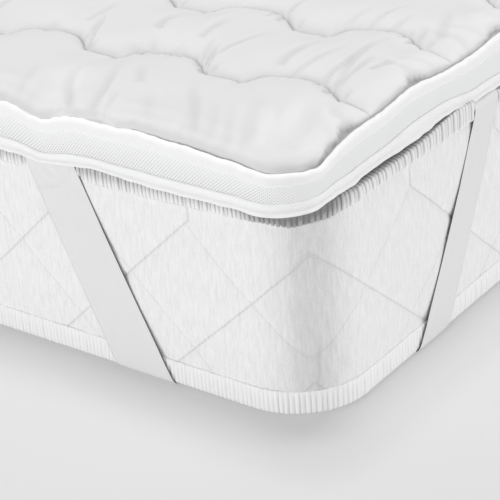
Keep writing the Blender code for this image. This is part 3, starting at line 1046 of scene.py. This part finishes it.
# Half a hole's width, as a share of the space between two rows, and how deep its rim is
# and how much painted shade it gets beside its middle
HOLE_SHARE = 0.52
HOLE_RIM_DEPTH = 0.25
HOLE_RIM_DARK = 0.3
# On the long sides the holes are shallower and their painted shade paler, and the yarn gets a painted shade
SIDE_HOLE_DEPTH = 0.35
SIDE_HOLE_DARK = 0.10
SIDE_PAINTED_SHADE = 0.18
# Towards the upper tape the painted shade in the holes grows paler by this share
HOLE_FADE = 0.5
MESH_BLEND = 0.15


def make_spacer(topper, mattress, material):
    """The border strip: a lattice of yarn round staggered sunken holes."""
    fine = np.linspace(-topper.total / 2, topper.total / 2, RING_SAMPLES)
    beyond = np.maximum(fine - NEAR_MESH[1], NEAR_MESH[0] - fine)
    phase, half_count = even_phase(fine, HOLE_NEAR + (HOLE_FAR - HOLE_NEAR) * smooth(beyond / MESH_BLEND))
    count = 2 * half_count
    rise = (MESH_HIGH - MESH_LOW) / HOLE_ROWS
    knots = {}
    spots, faces = [], []

    def spot(column, row, sunk, dark):
        spots.append((column, MESH_LOW + row * rise, sunk, dark))
        return len(spots) - 1

    for row in range(HOLE_ROWS + 1):
        for column in range(row % 2, count, 2):
            knots[column, row] = spot(column, row, 0.0, 0.0)
    sides = ((1, 0), (0, 1), (-1, 0), (0, -1))
    for row in range(1, HOLE_ROWS):
        for column in range((row + 1) % 2, count, 2):
            outer = [knots[(column + a) % count, row + b] for a, b in sides]
            inner = [
                spot(column + a * HOLE_SHARE, row + b * HOLE_SHARE, HOLE_RIM_DEPTH, HOLE_RIM_DARK)
                for a, b in sides
            ]
            middle = spot(column, row, 1.0, 1.0)
            for n in range(4):
                after = (n + 1) % 4
                faces.append((outer[n], outer[after], inner[after], inner[n]))
                faces.append((inner[n], inner[after], middle))
    edges = []
    for row, tip in ((0, 1), (HOLE_ROWS, HOLE_ROWS - 1)):
        edges.append([knots[column, row] for column in range(0, count, 2)])
        for column in range(1, count, 2):
            ends = knots[column - 1, row], knots[(column + 1) % count, row]
            faces.append((*(ends if row == 0 else ends[::-1]), knots[column, tip]))
    backs = [[spot(column, row, -1.0, 0.0) for column in range(0, count, 2)] for row in (0, HOLE_ROWS)]
    for first, second in ((backs[0], edges[0]), (backs[1], backs[0]), (edges[1], backs[1])):
        for n in range(half_count):
            after = (n + 1) % half_count
            faces.append((first[n], first[after], second[after], second[n]))
    along, height, sunk, dark = np.array(spots).T
    place = np.interp((along / 2) % half_count, phase, fine)
    point, normal = topper.at(place)
    on_end = normal[:, 1] ** 2
    depth = np.maximum(sunk, 0.0) * HOLE_DEPTH * (SIDE_HOLE_DEPTH + (1 - SIDE_HOLE_DEPTH) * on_end)
    inset = np.where(sunk < 0, MESH_BACK, MESH_INSET + depth)
    out, up = border_move(topper, mattress, place, height)
    flat = point + normal * (out - inset)[:, None]
    points = np.concatenate([flat, (height + up)[:, None]], -1)
    # Painted shade: dark in the holes, paler on the long sides and towards the upper tape, and over the
    # whole strip on the long sides
    fade = 1 - HOLE_FADE * smooth((height - MESH_LOW) / (MESH_HIGH - MESH_LOW))
    dark = dark * (SIDE_HOLE_DARK + (1 - SIDE_HOLE_DARK) * on_end) * fade + SIDE_PAINTED_SHADE * (1 - on_end) ** 2
    cloth = triples(place, height, 0.0)
    return add_mesh("border_mesh", points, faces, material, {"cloth": cloth, "painted_darkening": dark})


# ------------------------------------------------------------------ mattress

# Section of one rib: shares of the way to the next one, and heights. The ribs
# stray a little from an even pitch, and the yarn loops at the tape's edges too.
RIB_SHARES = np.array((0.0, 0.20, 0.50, 0.80))
RIB_HEIGHTS = np.array((0.0, 0.80, 1.0, 0.78))
RIB_STRAY = 0.16
RIB_START = 0.2
STRONG_RIB = 1.15
RIB_VARIATION = 0.3
LOOP_LEAST = 0.4
LOOP_MORE = 1.2
# Share of a rib's height that is left under a strap
FLAT_RIB = 0.2
# Between ribs the tape gets painted shade, where it stands under this share of a rib's height
RIB_SHADE_START = 0.85
RIB_UNITS = np.array((MM, MM, 1, 1, 1, 1))
TOP_RIBS = RIB_UNITS * np.array((
    # inset, height, in mm, rib share, loop share, painted shade, share of the rise and the drop
    (1.95, 163.2, 0.0, 0.5, 0.00, 1.0),
    (1.00, 162.5, 0.4, 1.0, 0.00, 1.0),
    (0.30, 164.0, 0.9, 0.4, 0.02, 0.9),
    (0.00, 166.4, 1.0, 0.0, 0.04, 0.6),
    (0.00, 169.0, 1.0, 0.0, 0.07, 0.3),
    (0.20, 171.6, 1.0, 0.0, 0.10, 0.1),
    (0.70, 174.2, 1.0, 0.0, 0.14, 0.0),
    (1.80, 176.4, 1.0, 0.0, 0.26, 0.0),
    (9.50, 177.6, 0.5, 0.0, 0.80, 0.0),
    (9.50, 176.0, 0.0, 0.0, 1.00, 0.0),
    (4.80, 174.4, 0.0, 0.0, 0.50, 0.0),
    (2.90, 171.2, 0.0, 0.0, 0.00, 0.2),
    (2.60, 166.5, 0.0, 0.0, 0.00, 0.7),
))
BOTTOM_RIBS = RIB_UNITS * np.array((
    # the same columns
    (2.60, 19.6, 0.0, 0.0, 0.0, 0.0),
    (1.50, 21.1, 0.0, 0.6, 0.0, 0.0),
    (0.80, 21.3, 0.0, 0.9, 0.0, 0.0),
    (0.40, 20.7, 0.2, 0.9, 0.0, 0.0),
    (0.15, 19.2, 0.5, 0.4, 0.0, 0.0),
    (0.10, 16.0, 0.8, 0.0, 0.0, 0.0),
    (0.10, 12.0, 1.0, 0.0, 0.0, 0.0),
    (0.10, 7.5, 1.0, 0.0, 0.0, 0.0),
    (0.10, 4.0, 1.0, 0.0, 0.0, 0.0),
    (0.70, 2.2, 0.6, 0.0, 0.0, 0.0),
    (9.50, 2.2, 0.0, 0.0, 0.2, 0.0),
    (9.50, 3.5, 0.0, 0.0, 0.0, 0.0),
    (1.90, 3.6, 0.0, 0.0, 0.0, 0.0),
))
SIDE_RISE = 4.5 * MM
# The tape reaches lower on the ends, and at the photographed corner
END_DROP = 4.2 * MM
END_DROP_START = 0.085
CORNER_DROP = 3.8 * MM
CORNER_DROP_PLACE = 0.005
CORNER_DROP_REACH = 0.036
LOOP_SIZE = 0.5 * MM
# Beside the photographed strap the mattress's top tape swells up to the topper
SWELL_PLACE = 0.195
SWELL_REACH = 0.050
SWELL_RISE = 10.5 * MM
# Under the topper's photographed corner the tape gets a deep painted shadow
SHADED_PLACE = -0.010
SHADED_REACH = 0.038
SHADED_LEAST = 0.70
END_TAPE_SHADE = 0.38
# Heights over which the tape's upper part begins: for the swell and the painted shades
SWELL_HEIGHTS = (0.1680, 0.1740)
SWELL_DEPTH = 8.0 * MM
SHADED_HEIGHTS = (0.1650, 0.1720)
END_SHADE_HEIGHTS = (0.1640, 0.1710)
# A strap flattens the ribs this far beside it, and they rise over this distance
STRAP_MARGIN = 1.0 * MM
STRAP_BLEND = 2.5 * MM


def between(value, limits):
    """0 below the first limit, 1 above the second, and eased in between."""
    low, high = limits
    return smooth((value - low) / (high - low))


def under_strap(mattress, place):
    """1 where a strap crosses the mattress's top tape, and 0 away from the straps."""
    point, normal = mattress.at(place)
    along = mattress.half - np.abs(point - mattress.centre)
    on_long_side = normal[:, 0] ** 2 > 0.5
    far = np.abs(np.where(on_long_side, along[:, 1], along[:, 0]) - STRAP_RUNS[0][0])
    half_run = np.where(on_long_side, STRAP_RUNS[1][2], STRAP_RUNS[0][2]) / 2
    return smooth((half_run + STRAP_MARGIN - far) / STRAP_BLEND)


def tape_drop(spot, on_side):
    """How much lower the top tape reaches on the ends and at the photographed corner."""
    drop = END_DROP * (1 - on_side) * (1 - bell(spot, END_DROP_START))
    return drop + CORNER_DROP * bell(spot - CORNER_DROP_PLACE, CORNER_DROP_REACH)


def top_tape_shade(spot, on_side, level):
    """How much painted shadow the top tape gets under the topper's corner and along the ends."""
    shaded = np.exp(-((spot - SHADED_PLACE) / SHADED_REACH) ** 4)[:, None]
    shade = shaded * (SHADED_LEAST + (1 - SHADED_LEAST) * between(level, SHADED_HEIGHTS))
    return shade + END_TAPE_SHADE * (1 - on_side)[:, None] * between(level, END_SHADE_HEIGHTS)


def make_ribbed(name, mattress, section, pitches, size, weak, darker, seed, material):
    """A binding tape with raised ribs across it, and painted shade between them.
    pitches are those on the ends and on the long sides, and every other rib is weak."""
    random = np.random.default_rng(seed)
    fine = np.linspace(-mattress.total / 2, mattress.total / 2, RING_SAMPLES)
    _, normal = mattress.at(fine)
    end_pitch, side_pitch = pitches
    phase, ribs = even_phase(fine, end_pitch + (side_pitch - end_pitch) * normal[:, 0] ** 2)
    stray = (random.random(ribs) - 0.5) * RIB_STRAY
    wanted = (np.arange(ribs) + stray)[:, None] + RIB_SHARES + RIB_START
    place = np.interp(wanted.ravel(), phase, fine)
    strength = np.where(np.arange(ribs) % 2 == 0, STRONG_RIB, weak)
    strength = strength + RIB_VARIATION * (random.random(ribs) - 0.5)
    tall = (strength[:, None] * RIB_HEIGHTS).reshape(-1, 1)
    loops = ((LOOP_LEAST + LOOP_MORE * random.random(ribs))[:, None] * RIB_HEIGHTS).reshape(-1, 1)
    on_top = section[0, 1] > MATTRESS_HEIGHT / 2
    inset, level, ribbed, looped, dark, risen = section.T
    free = 1 - under_strap(mattress, place) * on_top
    spot = mattress.signed(place)
    on_side = long_side_share(mattress, place)
    out = size * (tall * (FLAT_RIB + (1 - FLAT_RIB) * free[:, None]) - 0.5) * ribbed - inset
    out = out + corner_facets(mattress, place)[:, None] * on_top
    height = level + (-1.0 if on_top else 1.0) * LOOP_SIZE * loops * looped
    height = height + (SIDE_RISE * on_side - tape_drop(spot, on_side) * on_top)[:, None] * risen
    swell = bell(spot - SWELL_PLACE, SWELL_REACH) * free * on_top
    upper = between(level, SWELL_HEIGHTS) * np.exp(-inset / SWELL_DEPTH)
    height = height + SWELL_RISE * swell[:, None] * upper
    # Painted shade between the ribs, and on the top tape painted shadow under the topper
    shade = dark + darker * ribbed * np.clip(RIB_SHADE_START - tall, 0.0, 1.0)
    shade = shade + top_tape_shade(spot, on_side, level) * on_top
    extra = {"cloth": triples(place[:, None], height, inset), "painted_darkening": shade.ravel()}
    return closed_ring(name, mattress, place, out, height, material, extra)


# Diamond quilting of the side panel: the lines' run over their height, then
# along the side the first line that falls away from the corner, the first one
# that rises from it, and the pitch
END_LINES = (1.064, 0.1445, -0.0505, 0.114)
SIDE_LINES = (1.200, 0.1660, -0.0600, 0.132)
# Lines that fall away from the corner, and lines that rise: depth of their furrow
FURROWS = ((1.0, 1.5 * MM), (-1.0, 0.6 * MM))
FURROW_WIDTH = 2.2 * MM
FURROW_SHARE = 0.6
# A wider furrow with a sharp middle lies over each line
WIDE_FURROW_SHARE = 0.7
WIDE_FURROW_REACH = 7.0 * MM
HOOK_BLEND = 3.0 * MM
HOOK_MARGIN = 1.0 * MM
HOOK_HEIGHT = 0.148
LINE_WIDTH = 1.3 * MM
LINE_STITCH = 3.4 * MM
# Painted shade of a line between its stitches, and how fast it darkens along each
LINE_SHADE = 0.55
STITCH_SHADE = 0.9
PANEL_PROFILE = MM * np.array((
    # height, inset, in mm
    (18.5, 1.9),
    (20.5, 1.2),
    (24.0, 0.9),
    (32.0, 0.6),
    (60.0, 0.3),
    (90.0, 0.2),
    (120.0, 0.3),
    (149.0, 0.5),
    (159.0, 0.9),
    (165.0, 1.5),
    (167.0, 2.6),
))
PANEL_STEP = 2.8 * MM
NEAR_PANEL = (-0.42, 0.56)
PANEL_STEPS = (2.2 * MM, 8.0 * MM)
# The relief fades out over these heights at the panel's foot and top
PANEL_FADE = (8.0 * MM, 6.0 * MM)
PANEL_PUCKER = (60.0 * MM, 0.5 * MM)
# Between these shares of facing sideways an end turns into a long side
SIDE_TURN = (0.1875, 0.8125)
# Painted shade in the middle of the mattress's rounded corners, and in its low corner fold
CORNER_SHADE = 0.9
CORNER_SHADE_POWER = 2.3
FOLD_SHADE = 0.3
CORNER_FACETS = (
    # facing, distance from the corner's middle
    (0.0, 62.6 * MM),
    (12.0, 61.4 * MM),
    (46.0, 63.6 * MM),
    (78.0, 61.4 * MM),
    (90.0, 62.6 * MM),
)
FACET_SHARPNESS = 90
FOLD_PLACE = 4.0 * MM
FOLD_WIDTH = 1.8 * MM
FOLD_TOP = 0.078
FOLD_DEPTH = 1.4 * MM
FOLD_FADE = 0.03
# Rings below and above the quilted panel: inset, height, in mm
CORE_FOOT = MM * np.array(((13.5, 0.0), (10.5, 3.8), (2.0, 3.8)))
# How far from each corner, along the end and the side, the underside is drawn up
CORNER_LIFT_REACH = (0.201, 0.188)
CORNER_LIFT = 2.4 * MM
CORE_HEAD = MM * np.array((
    (3.4, 170.5),
    (5.6, 172.8),
    (10.0, 174.4),
    (11.0, 178.3),
    (24.5, 178.4),
    (27.5, 180.0),
))


def line_phase(place, height, lines, up):
    """Which quilting line of one family a point lies on: a whole number on a line."""
    slope, falling, rising, pitch = lines
    start = falling if up > 0 else rising
    return (np.abs(place) + up * slope * np.minimum(height, HOOK_HEIGHT) - start) / pitch


def below_hooks(height):
    """1 up to where the quilting lines turn upright, and 0 above."""
    return smooth((HOOK_HEIGHT + HOOK_MARGIN - height) / HOOK_BLEND)


def line_gap(place, height, lines, up):
    """Distance to the nearest quilting line of one family."""
    slope, _, _, pitch = lines
    phase = line_phase(place, height, lines, up)
    return (phase - np.round(phase)) * pitch / np.sqrt(1 + slope * slope)


def corner_facets(mattress, place):
    """How far the side stands out where each corner turns in three soft facets."""
    _, normal = mattress.at(place)
    turn = np.arctan2(np.abs(normal[:, 0]), np.abs(normal[:, 1]))
    reach = [distance / np.cos(turn - radians(facing)) for facing, distance in CORNER_FACETS]
    inverse = sum(value ** -FACET_SHARPNESS for value in reach)
    return inverse ** (-1 / FACET_SHARPNESS) - mattress.radius


def long_side_share(mattress, place):
    """0 on the two ends and 1 on the two long sides, turning at the corners."""
    _, normal = mattress.at(place)
    return between(normal[:, 0] ** 2, SIDE_TURN)


def panel_relief(mattress, place, height):
    """How far the quilted side stands in from its smooth shape."""
    side_share = long_side_share(mattress, place)[:, None]
    spot = mattress.signed(place)[:, None]
    total = np.zeros((len(place), len(height)))
    for up, depth in FURROWS:
        if up < 0:
            depth = depth * below_hooks(height)
        for lines, share in ((END_LINES, 1 - side_share), (SIDE_LINES, side_share)):
            off = line_gap(spot, height, lines, up)
            wide = np.exp(-np.abs(off) / WIDE_FURROW_REACH)
            total += share * depth * (FURROW_SHARE * bell(off, FURROW_WIDTH) + WIDE_FURROW_SHARE * wide)
    return total


def corner_fold(mattress, place, height):
    """1 along a short upright crease low on the photographed corner, and 0 elsewhere."""
    off = mattress.signed(place)[:, None] - FOLD_PLACE
    return bell(off, FOLD_WIDTH) * smooth((FOLD_TOP - height) / FOLD_FADE)


def corner_shade(mattress, place):
    """1 in the middle of each rounded corner of the mattress, and 0 on its flat sides: where it gets
    painted shade.
    """
    _, normal = mattress.at(place)
    return np.abs(2 * normal[:, 0] * normal[:, 1]) ** CORNER_SHADE_POWER


def add_underside(faces, first, lifted):
    """Closes the underside: flat in the middle, with each corner drawn up a
    little where a strap passes under it. first is its rim, and lifted tells
    which points of it are drawn up."""
    order = np.roll(np.arange(len(first)), -int(np.argmin(lifted)))
    faces.append(first[order[~lifted[order]]][::-1].tolist())
    turns = np.flatnonzero(np.diff(np.append(lifted[order], False).astype(int)))
    for before, end in turns.reshape(-1, 2):
        run = order[before + 1:end + 1]
        slope = np.array((order[before], run[0], run[-1], order[(end + 1) % len(order)]))
        faces += [first[run][::-1].tolist(), first[slope][::-1].tolist()]


def make_cover(mattress, material):
    """The mattress: diamond quilted side, flat top, and an underside whose
    corners are drawn up over the straps."""
    random = np.random.default_rng(COVER_SEED)
    place = ring_places(mattress, *NEAR_PANEL, *PANEL_STEPS)
    profile = PANEL_PROFILE.T
    low, high = profile[0, 0], profile[0, -1]
    height = np.linspace(low, high, ceil((high - low) / PANEL_STEP) + 1)
    relief = panel_relief(mattress, place, height) + FOLD_DEPTH * corner_fold(mattress, place, height)
    calm = smooth((height - low) / PANEL_FADE[0]) * smooth((high - height) / PANEL_FADE[1])
    uneven = pucker(place, random, *PANEL_PUCKER) + corner_facets(mattress, place)
    out = (uneven[:, None] - relief) * calm - np.interp(height, *profile)
    every = np.ones((len(place), 1))
    out = np.concatenate([-CORE_FOOT[:, 0] * every, out, -CORE_HEAD[:, 0] * every], 1)
    tall = np.concatenate([CORE_FOOT[:, 1], height, CORE_HEAD[:, 1]]) * every
    flat, _ = mattress.at(place)
    run = mattress.half - np.minimum(np.abs(flat - mattress.centre), mattress.half - CORE_FOOT[0, 0])
    lifted = (run / CORNER_LIFT_REACH).sum(1) < 1
    tall[:, 0] = np.where(lifted, CORNER_LIFT, 0.0)
    points = ring_points(mattress, place, out, tall)
    columns = out.shape[1]
    faces = quads(len(place), columns, True, False)[:, ::-1].tolist()
    first = np.arange(len(place)) * columns
    faces.append((first + columns - 1).tolist())
    add_underside(faces, first, lifted)
    spot = mattress.signed(place)[:, None]
    share = long_side_share(mattress, place)[:, None]
    # Painted shade in the rounded corners and the low corner fold
    painted_shade = FOLD_SHADE * corner_fold(mattress, place, tall)
    painted_shade = painted_shade + CORNER_SHADE * corner_shade(mattress, place)[:, None]
    extra = {"cloth": triples(place[:, None], tall, out), "painted_shade": painted_shade.ravel()}
    extra["below_hooks"] = below_hooks(tall).ravel()
    for key, lines, weight in (("end_lines", END_LINES, 1 - share), ("side_lines", SIDE_LINES, share)):
        extra[key] = triples(*(line_phase(spot, tall, lines, up) for up, _ in FURROWS), weight)
    return add_mesh("mattress_cover", points, faces, material, extra)


# --------------------------------------------------------------------- straps

STRAP_THICKNESS = 1.0 * MM
STRAP_WIDTH = 0.050
STRAP_RUNS = (
    # middle at the top, middle at the foot, level width at each, bow
    (0.251, 0.1655, 0.053, 0.058, 0.002),
    (0.251, 0.1590, 0.038, 0.046, 0.005),
)
STRAP_PATH = (
    # out, height, facing out, facing up
    (-22.0 * MM, 0.17940, 0.0, 1.0),
    (-5.0 * MM, 0.17940, 0.0, 1.0),
    (-2.2 * MM, 0.17920, 0.25, 0.97),
    (-0.7 * MM, 0.17790, 0.75, 0.65),
    (0.2 * MM, 0.17550, 0.97, 0.25),
    (0.5 * MM, 0.17150, 1.0, 0.0),
    (0.4 * MM, 0.16400, 1.0, 0.0),
    (0.1 * MM, 0.15000, 1.0, 0.0),
    (0.5 * MM, 0.12000, 1.0, 0.0),
    (0.5 * MM, 0.09000, 1.0, 0.0),
    (0.6 * MM, 0.06000, 1.0, 0.0),
    (1.0 * MM, 0.03000, 1.0, 0.0),
    (1.6 * MM, 0.01800, 1.0, 0.0),
    (1.7 * MM, 0.00600, 1.0, 0.0),
    (1.0 * MM, 0.00250, 0.9, -0.5),
    (-0.5 * MM, 0.00110, 0.5, -0.9),
    (-3.0 * MM, 0.00095, 0.0, -1.0),
)
CORNERS = (
    # name, side along x, side along y
    ("front_right", 1, -1),
    ("back_right", 1, 1),
    ("back_left", -1, 1),
    ("front_left", -1, -1),
)
STRAP_STEP = 1.9 * MM
STRAP_COLUMNS = 12
NEAR_STRAP_COLUMNS = 27
# Folds at the upper end of the photographed strap
STRAP_FOLDS = (
    # across, height, across at its end, height at its end, width, depth
    (1.00, 0.1420, 0.46, 0.1490, 1.7 * MM, 1.20 * MM),
    (0.46, 0.1490, 0.12, 0.1660, 1.7 * MM, 1.40 * MM),
    (0.88, 0.1730, 0.62, 0.1560, 2.0 * MM, 1.00 * MM),
    (0.62, 0.1760, 0.36, 0.1610, 2.0 * MM, 0.90 * MM),
)
# Shares of the width: the painted shadow line along the edge towards the corner,
# and where the even columns of the strap begin
STRAP_PAINTED_EDGE = 0.007
STRAP_INNER = 0.08
STRAP_LIFT = 0.2 * MM
# Heights over which a strap's edge begins and ceases to stand off
LIFT_FOOT = (0.006, 0.026)
LIFT_HEAD = (0.1730, 0.1790)
EDGE_THINNING = 0.35


def strap_guide(corner, mattress):
    """The two edges of a strap and the way it faces, from end to end."""
    _, side_x, side_y = corner
    halves = []
    for on_long_side in (False, True):
        top, foot, top_run, foot_run, bow = STRAP_RUNS[on_long_side]
        rows = []
        for out, height, face_out, face_up in STRAP_PATH:
            share = height / MATTRESS_HEIGHT
            middle = foot + (top - foot) * share + bow * 4 * share * (1 - share)
            half_run = (foot_run + (top_run - foot_run) * share) / 2
            row = []
            for along in (middle - half_run, middle + half_run):
                if on_long_side:
                    x, y = mattress.half[0] + out, mattress.half[1] - along
                else:
                    x, y = mattress.half[0] - along, mattress.half[1] + out
                row.append((side_x * x, side_y * y, height))
            turned = (side_x * face_out, 0.0) if on_long_side else (0.0, side_y * face_out)
            rows.append(row + [(*turned, face_up)])
        halves.append(rows)
    return np.array(halves[0] + halves[1][::-1])


def resample(rows, step):
    """Rows spaced evenly along the strap, with its bends rounded off."""
    middle = rows[:, :2].mean(1)
    run = np.concatenate(([0.0], np.cumsum(np.linalg.norm(np.diff(middle, axis=0), axis=1))))
    count = ceil(run[-1] / step)
    spots = np.linspace(0, run[-1], count + 1)
    flat = rows.reshape(len(rows), -1)
    dense = np.stack([np.interp(spots, run, flat[:, n]) for n in range(flat.shape[1])], -1)
    padded = np.concatenate([dense[:1], dense, dense[-1:]])
    dense = 0.25 * padded[:-2] + 0.5 * padded[1:-1] + 0.25 * padded[2:]
    return spots, dense.reshape(-1, 3, 3)


def strap_folds(across, height):
    """How far the folds stand out, for each height and place across the strap."""
    total = np.zeros((len(height), len(across)))
    for start, low, end, high, width, depth in STRAP_FOLDS:
        run = np.array(((end - start) * STRAP_WIDTH, high - low))
        off = np.stack(np.broadcast_arrays((across - start) * STRAP_WIDTH, (height - low)[:, None]), -1)
        share = np.clip((off * run).sum(-1) / (run * run).sum(), 0.0, 1.0)
        gap = np.linalg.norm(off - share[..., None] * run, axis=-1)
        total = np.maximum(total, depth * bell(gap, width))
    return total


def make_strap(corner, mattress, material):
    """An elastic strap whose edge towards the corner stands off a little, with a painted shadow line along
    it.
    """
    spots, rows = resample(strap_guide(corner, mattress), STRAP_STEP)
    near, far, facing = rows[:, :1], rows[:, 1:2], rows[:, 2:]
    facing = facing / np.linalg.norm(facing, axis=2)[..., None]
    photographed = corner is CORNERS[0]
    columns = NEAR_STRAP_COLUMNS if photographed else STRAP_COLUMNS
    across = np.append((0.0, STRAP_PAINTED_EDGE, STRAP_PAINTED_EDGE * 1.3), np.linspace(STRAP_INNER, 1, columns - 3))
    height = rows[:, 0, 2]
    upright = between(height, LIFT_FOOT) * (1 - between(height, LIFT_HEAD))
    lift = STRAP_LIFT * upright[:, None] * (1 - across) ** 2
    if photographed:
        lift = lift + strap_folds(across, height) * (np.abs(facing[:, 0, 1:2]) > 0.5)
    middle = near * (1 - across[:, None]) + far * across[:, None] + facing * lift[..., None]
    middle[..., :2] += mattress.centre
    thin = STRAP_THICKNESS / 2 * (1 - EDGE_THINNING * (2 * np.abs(across - 0.5)) ** 8)[:, None]
    loop = np.concatenate([middle + facing * thin, (middle - facing * thin)[:, ::-1]], 1)
    count, width = loop.shape[:2]
    points = loop.reshape(-1, 3)
    sides = quads(count, width, False, True)
    last = (count - 1) * width
    faces = sides.tolist() + [list(range(width))[::-1], list(range(last, last + width))]
    if inside_out(points, sides):
        faces = [face[::-1] for face in faces]
    cloth = triples(spots[:, None], np.append(across, across[::-1]) * STRAP_WIDTH, 0.0)
    # Painted shade on the back, and a painted shadow line along the edge towards the corner
    painted_edge = (across <= STRAP_PAINTED_EDGE) * 1.0
    back = np.broadcast_to(np.append(painted_edge, np.ones(columns)), (count, width)).ravel()
    return add_mesh("elastic_" + corner[0], points, faces, material, {"cloth": cloth, "back": back})


# --------------------------------------------------------------------- studio

def make_camera(mattress):
    """The photograph's camera, placed from the mattress's front right corner."""
    corner = mattress.centre + mattress.half * (1, -1)
    place = Vector((corner[0] + CAMERA_OFFSET[0], corner[1] + CAMERA_OFFSET[1], CAMERA_HEIGHT))
    reach = cos(CAMERA_PITCH)
    ahead = Vector((-sin(CAMERA_YAW) * reach, cos(CAMERA_YAW) * reach, -sin(CAMERA_PITCH)))
    level = Vector((cos(CAMERA_YAW), sin(CAMERA_YAW), 0.0))
    upright = level.cross(ahead)
    right = cos(CAMERA_ROLL) * level + sin(CAMERA_ROLL) * upright
    up = cos(CAMERA_ROLL) * upright - sin(CAMERA_ROLL) * level
    data = bpy.data.cameras.new("camera")
    data.sensor_width = SENSOR
    data.lens = FOCAL_PIXELS / IMAGE_PIXELS * SENSOR
    data.clip_start, data.clip_end = CLIP_RANGE
    camera = add_object("camera", data)
    camera.matrix_world = Matrix((
        (right.x, up.x, -ahead.x, place.x),
        (right.y, up.y, -ahead.y, place.y),
        (right.z, up.z, -ahead.z, place.z),
        (0, 0, 0, 1),
    ))
    bpy.context.scene.camera = camera


LAMPS = (
    # name, turned from straight ahead, height angle, distance, width, height, light on the part
    ("overhead", 0.0, 89.9, 6.0, 1.3, 1.3, 0.42),
    ("key_back", -127.0, 76.0, 6.0, 0.9, 0.9, 0.17),
    ("side_left", -31.0, 4.5, 4.0, 2.2, 0.7, 0.29),
    ("side_right", 122.0, 4.5, 4.0, 2.2, 0.7, 0.245),
    ("corner_fill", 45.0, 4.5, 4.0, 1.6, 0.7, 0.16),
)
LAMP_AIM = (0.20, -0.70, 0.12)
AMBIENT = 0.37
FLOOR_HALF = 30.0


def make_studio():
    """Plain soft lamps, a pale world and a pale floor."""
    aim = Vector(LAMP_AIM)
    for name, turned, lifted, distance, width, height, level in LAMPS:
        heading, tilt = radians(turned), radians(lifted)
        ahead = Vector((sin(heading) * cos(tilt), -cos(heading) * cos(tilt), sin(tilt)))
        data = bpy.data.lights.new(name, "AREA")
        data.shape = "RECTANGLE"
        data.size = width
        data.size_y = height
        data.energy = level * pi * pi * distance * distance
        lamp = add_object(name, data)
        lamp.location = aim + ahead * distance
        lamp.rotation_euler = ahead.to_track_quat("Z", "Y").to_euler()
        lamp.visible_camera = False
    world = bpy.data.worlds.new("studio")
    world.use_nodes = True
    background = world.node_tree.nodes["Background"]
    background.inputs["Color"].default_value = (1.0, 1.0, 1.0, 1.0)
    background.inputs["Strength"].default_value = AMBIENT
    bpy.context.scene.world = world
    bpy.context.scene.view_settings.view_transform = "Standard"
    corners = [(x * FLOOR_HALF, y * FLOOR_HALF, 0) for x, y in ((-1, -1), (1, -1), (1, 1), (-1, 1))]
    add_mesh("floor", corners, [(0, 1, 2, 3)], floor_material())


# ----------------------------------------------------------------------- main

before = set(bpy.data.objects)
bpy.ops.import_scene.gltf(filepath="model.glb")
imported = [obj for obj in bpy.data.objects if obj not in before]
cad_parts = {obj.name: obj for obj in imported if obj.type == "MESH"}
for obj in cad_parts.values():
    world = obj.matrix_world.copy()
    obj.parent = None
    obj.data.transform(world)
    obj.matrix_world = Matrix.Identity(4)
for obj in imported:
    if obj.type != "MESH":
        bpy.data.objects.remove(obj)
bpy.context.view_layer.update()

foot_low, foot_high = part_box("mattress_tape_bottom")
centre = ((foot_low.x + foot_high.x) / 2, (foot_low.y + foot_high.y) / 2)
mattress = Outline(MATTRESS_SIZE, MATTRESS_CORNER, centre)
topper = Outline(TOPPER_SIZE, TOPPER_CORNER, np.array(centre) + TOPPER_SHIFT)

make_camera(mattress)
make_studio()

quilted = quilted_material()
tape = tape_material()
elastic = elastic_material()
ribbed = ribbed_material()

quilt = make_quilt(topper, mattress, quilted)
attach(quilt, "root")
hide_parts("topper_pad")

spacer = make_spacer(topper, mattress, mesh_material())
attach(spacer, "root")
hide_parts("topper_border")

for name, node_name, section, pitch, size, width in (
    # pitch and size of the puckers, flat width
    ("binding_upper", "topper_tape_upper", UPPER_TAPE, 9 * MM, 0.5 * MM, 0.0150),
    ("binding_lower", "topper_tape_lower", LOWER_TAPE, 14 * MM, 0.4 * MM, 0.0160),
):
    binding = make_binding(name, topper, mattress, section, tape, pitch, size, SEED + len(name))
    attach(binding, "root")
    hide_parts(node_name)

cover = make_cover(mattress, knit_material())
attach(cover, "root")
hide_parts("mattress_core")

for name, node_name, section, pitches, size, weak, darker, width in (
    # pitch on the ends and sides, size of a rib, share for a weak one, painted shade between, flat width
    ("ribbed_top", "mattress_tape_top", TOP_RIBS, (3.8 * MM, 4.6 * MM), 1.5 * MM, 0.80, 0.75, 0.022),
    ("ribbed_foot", "mattress_tape_bottom", BOTTOM_RIBS, (3.9 * MM, 4.6 * MM), 1.2 * MM, 0.85, 0.20, 0.026),
):
    binding = make_ribbed(name, mattress, section, pitches, size, weak, darker, SEED + len(name), ribbed)
    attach(binding, "root")
    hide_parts(node_name)

for corner in CORNERS:
    strap = make_strap(corner, mattress, elastic)
    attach(strap, "root")
    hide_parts("strap_" + corner[0])
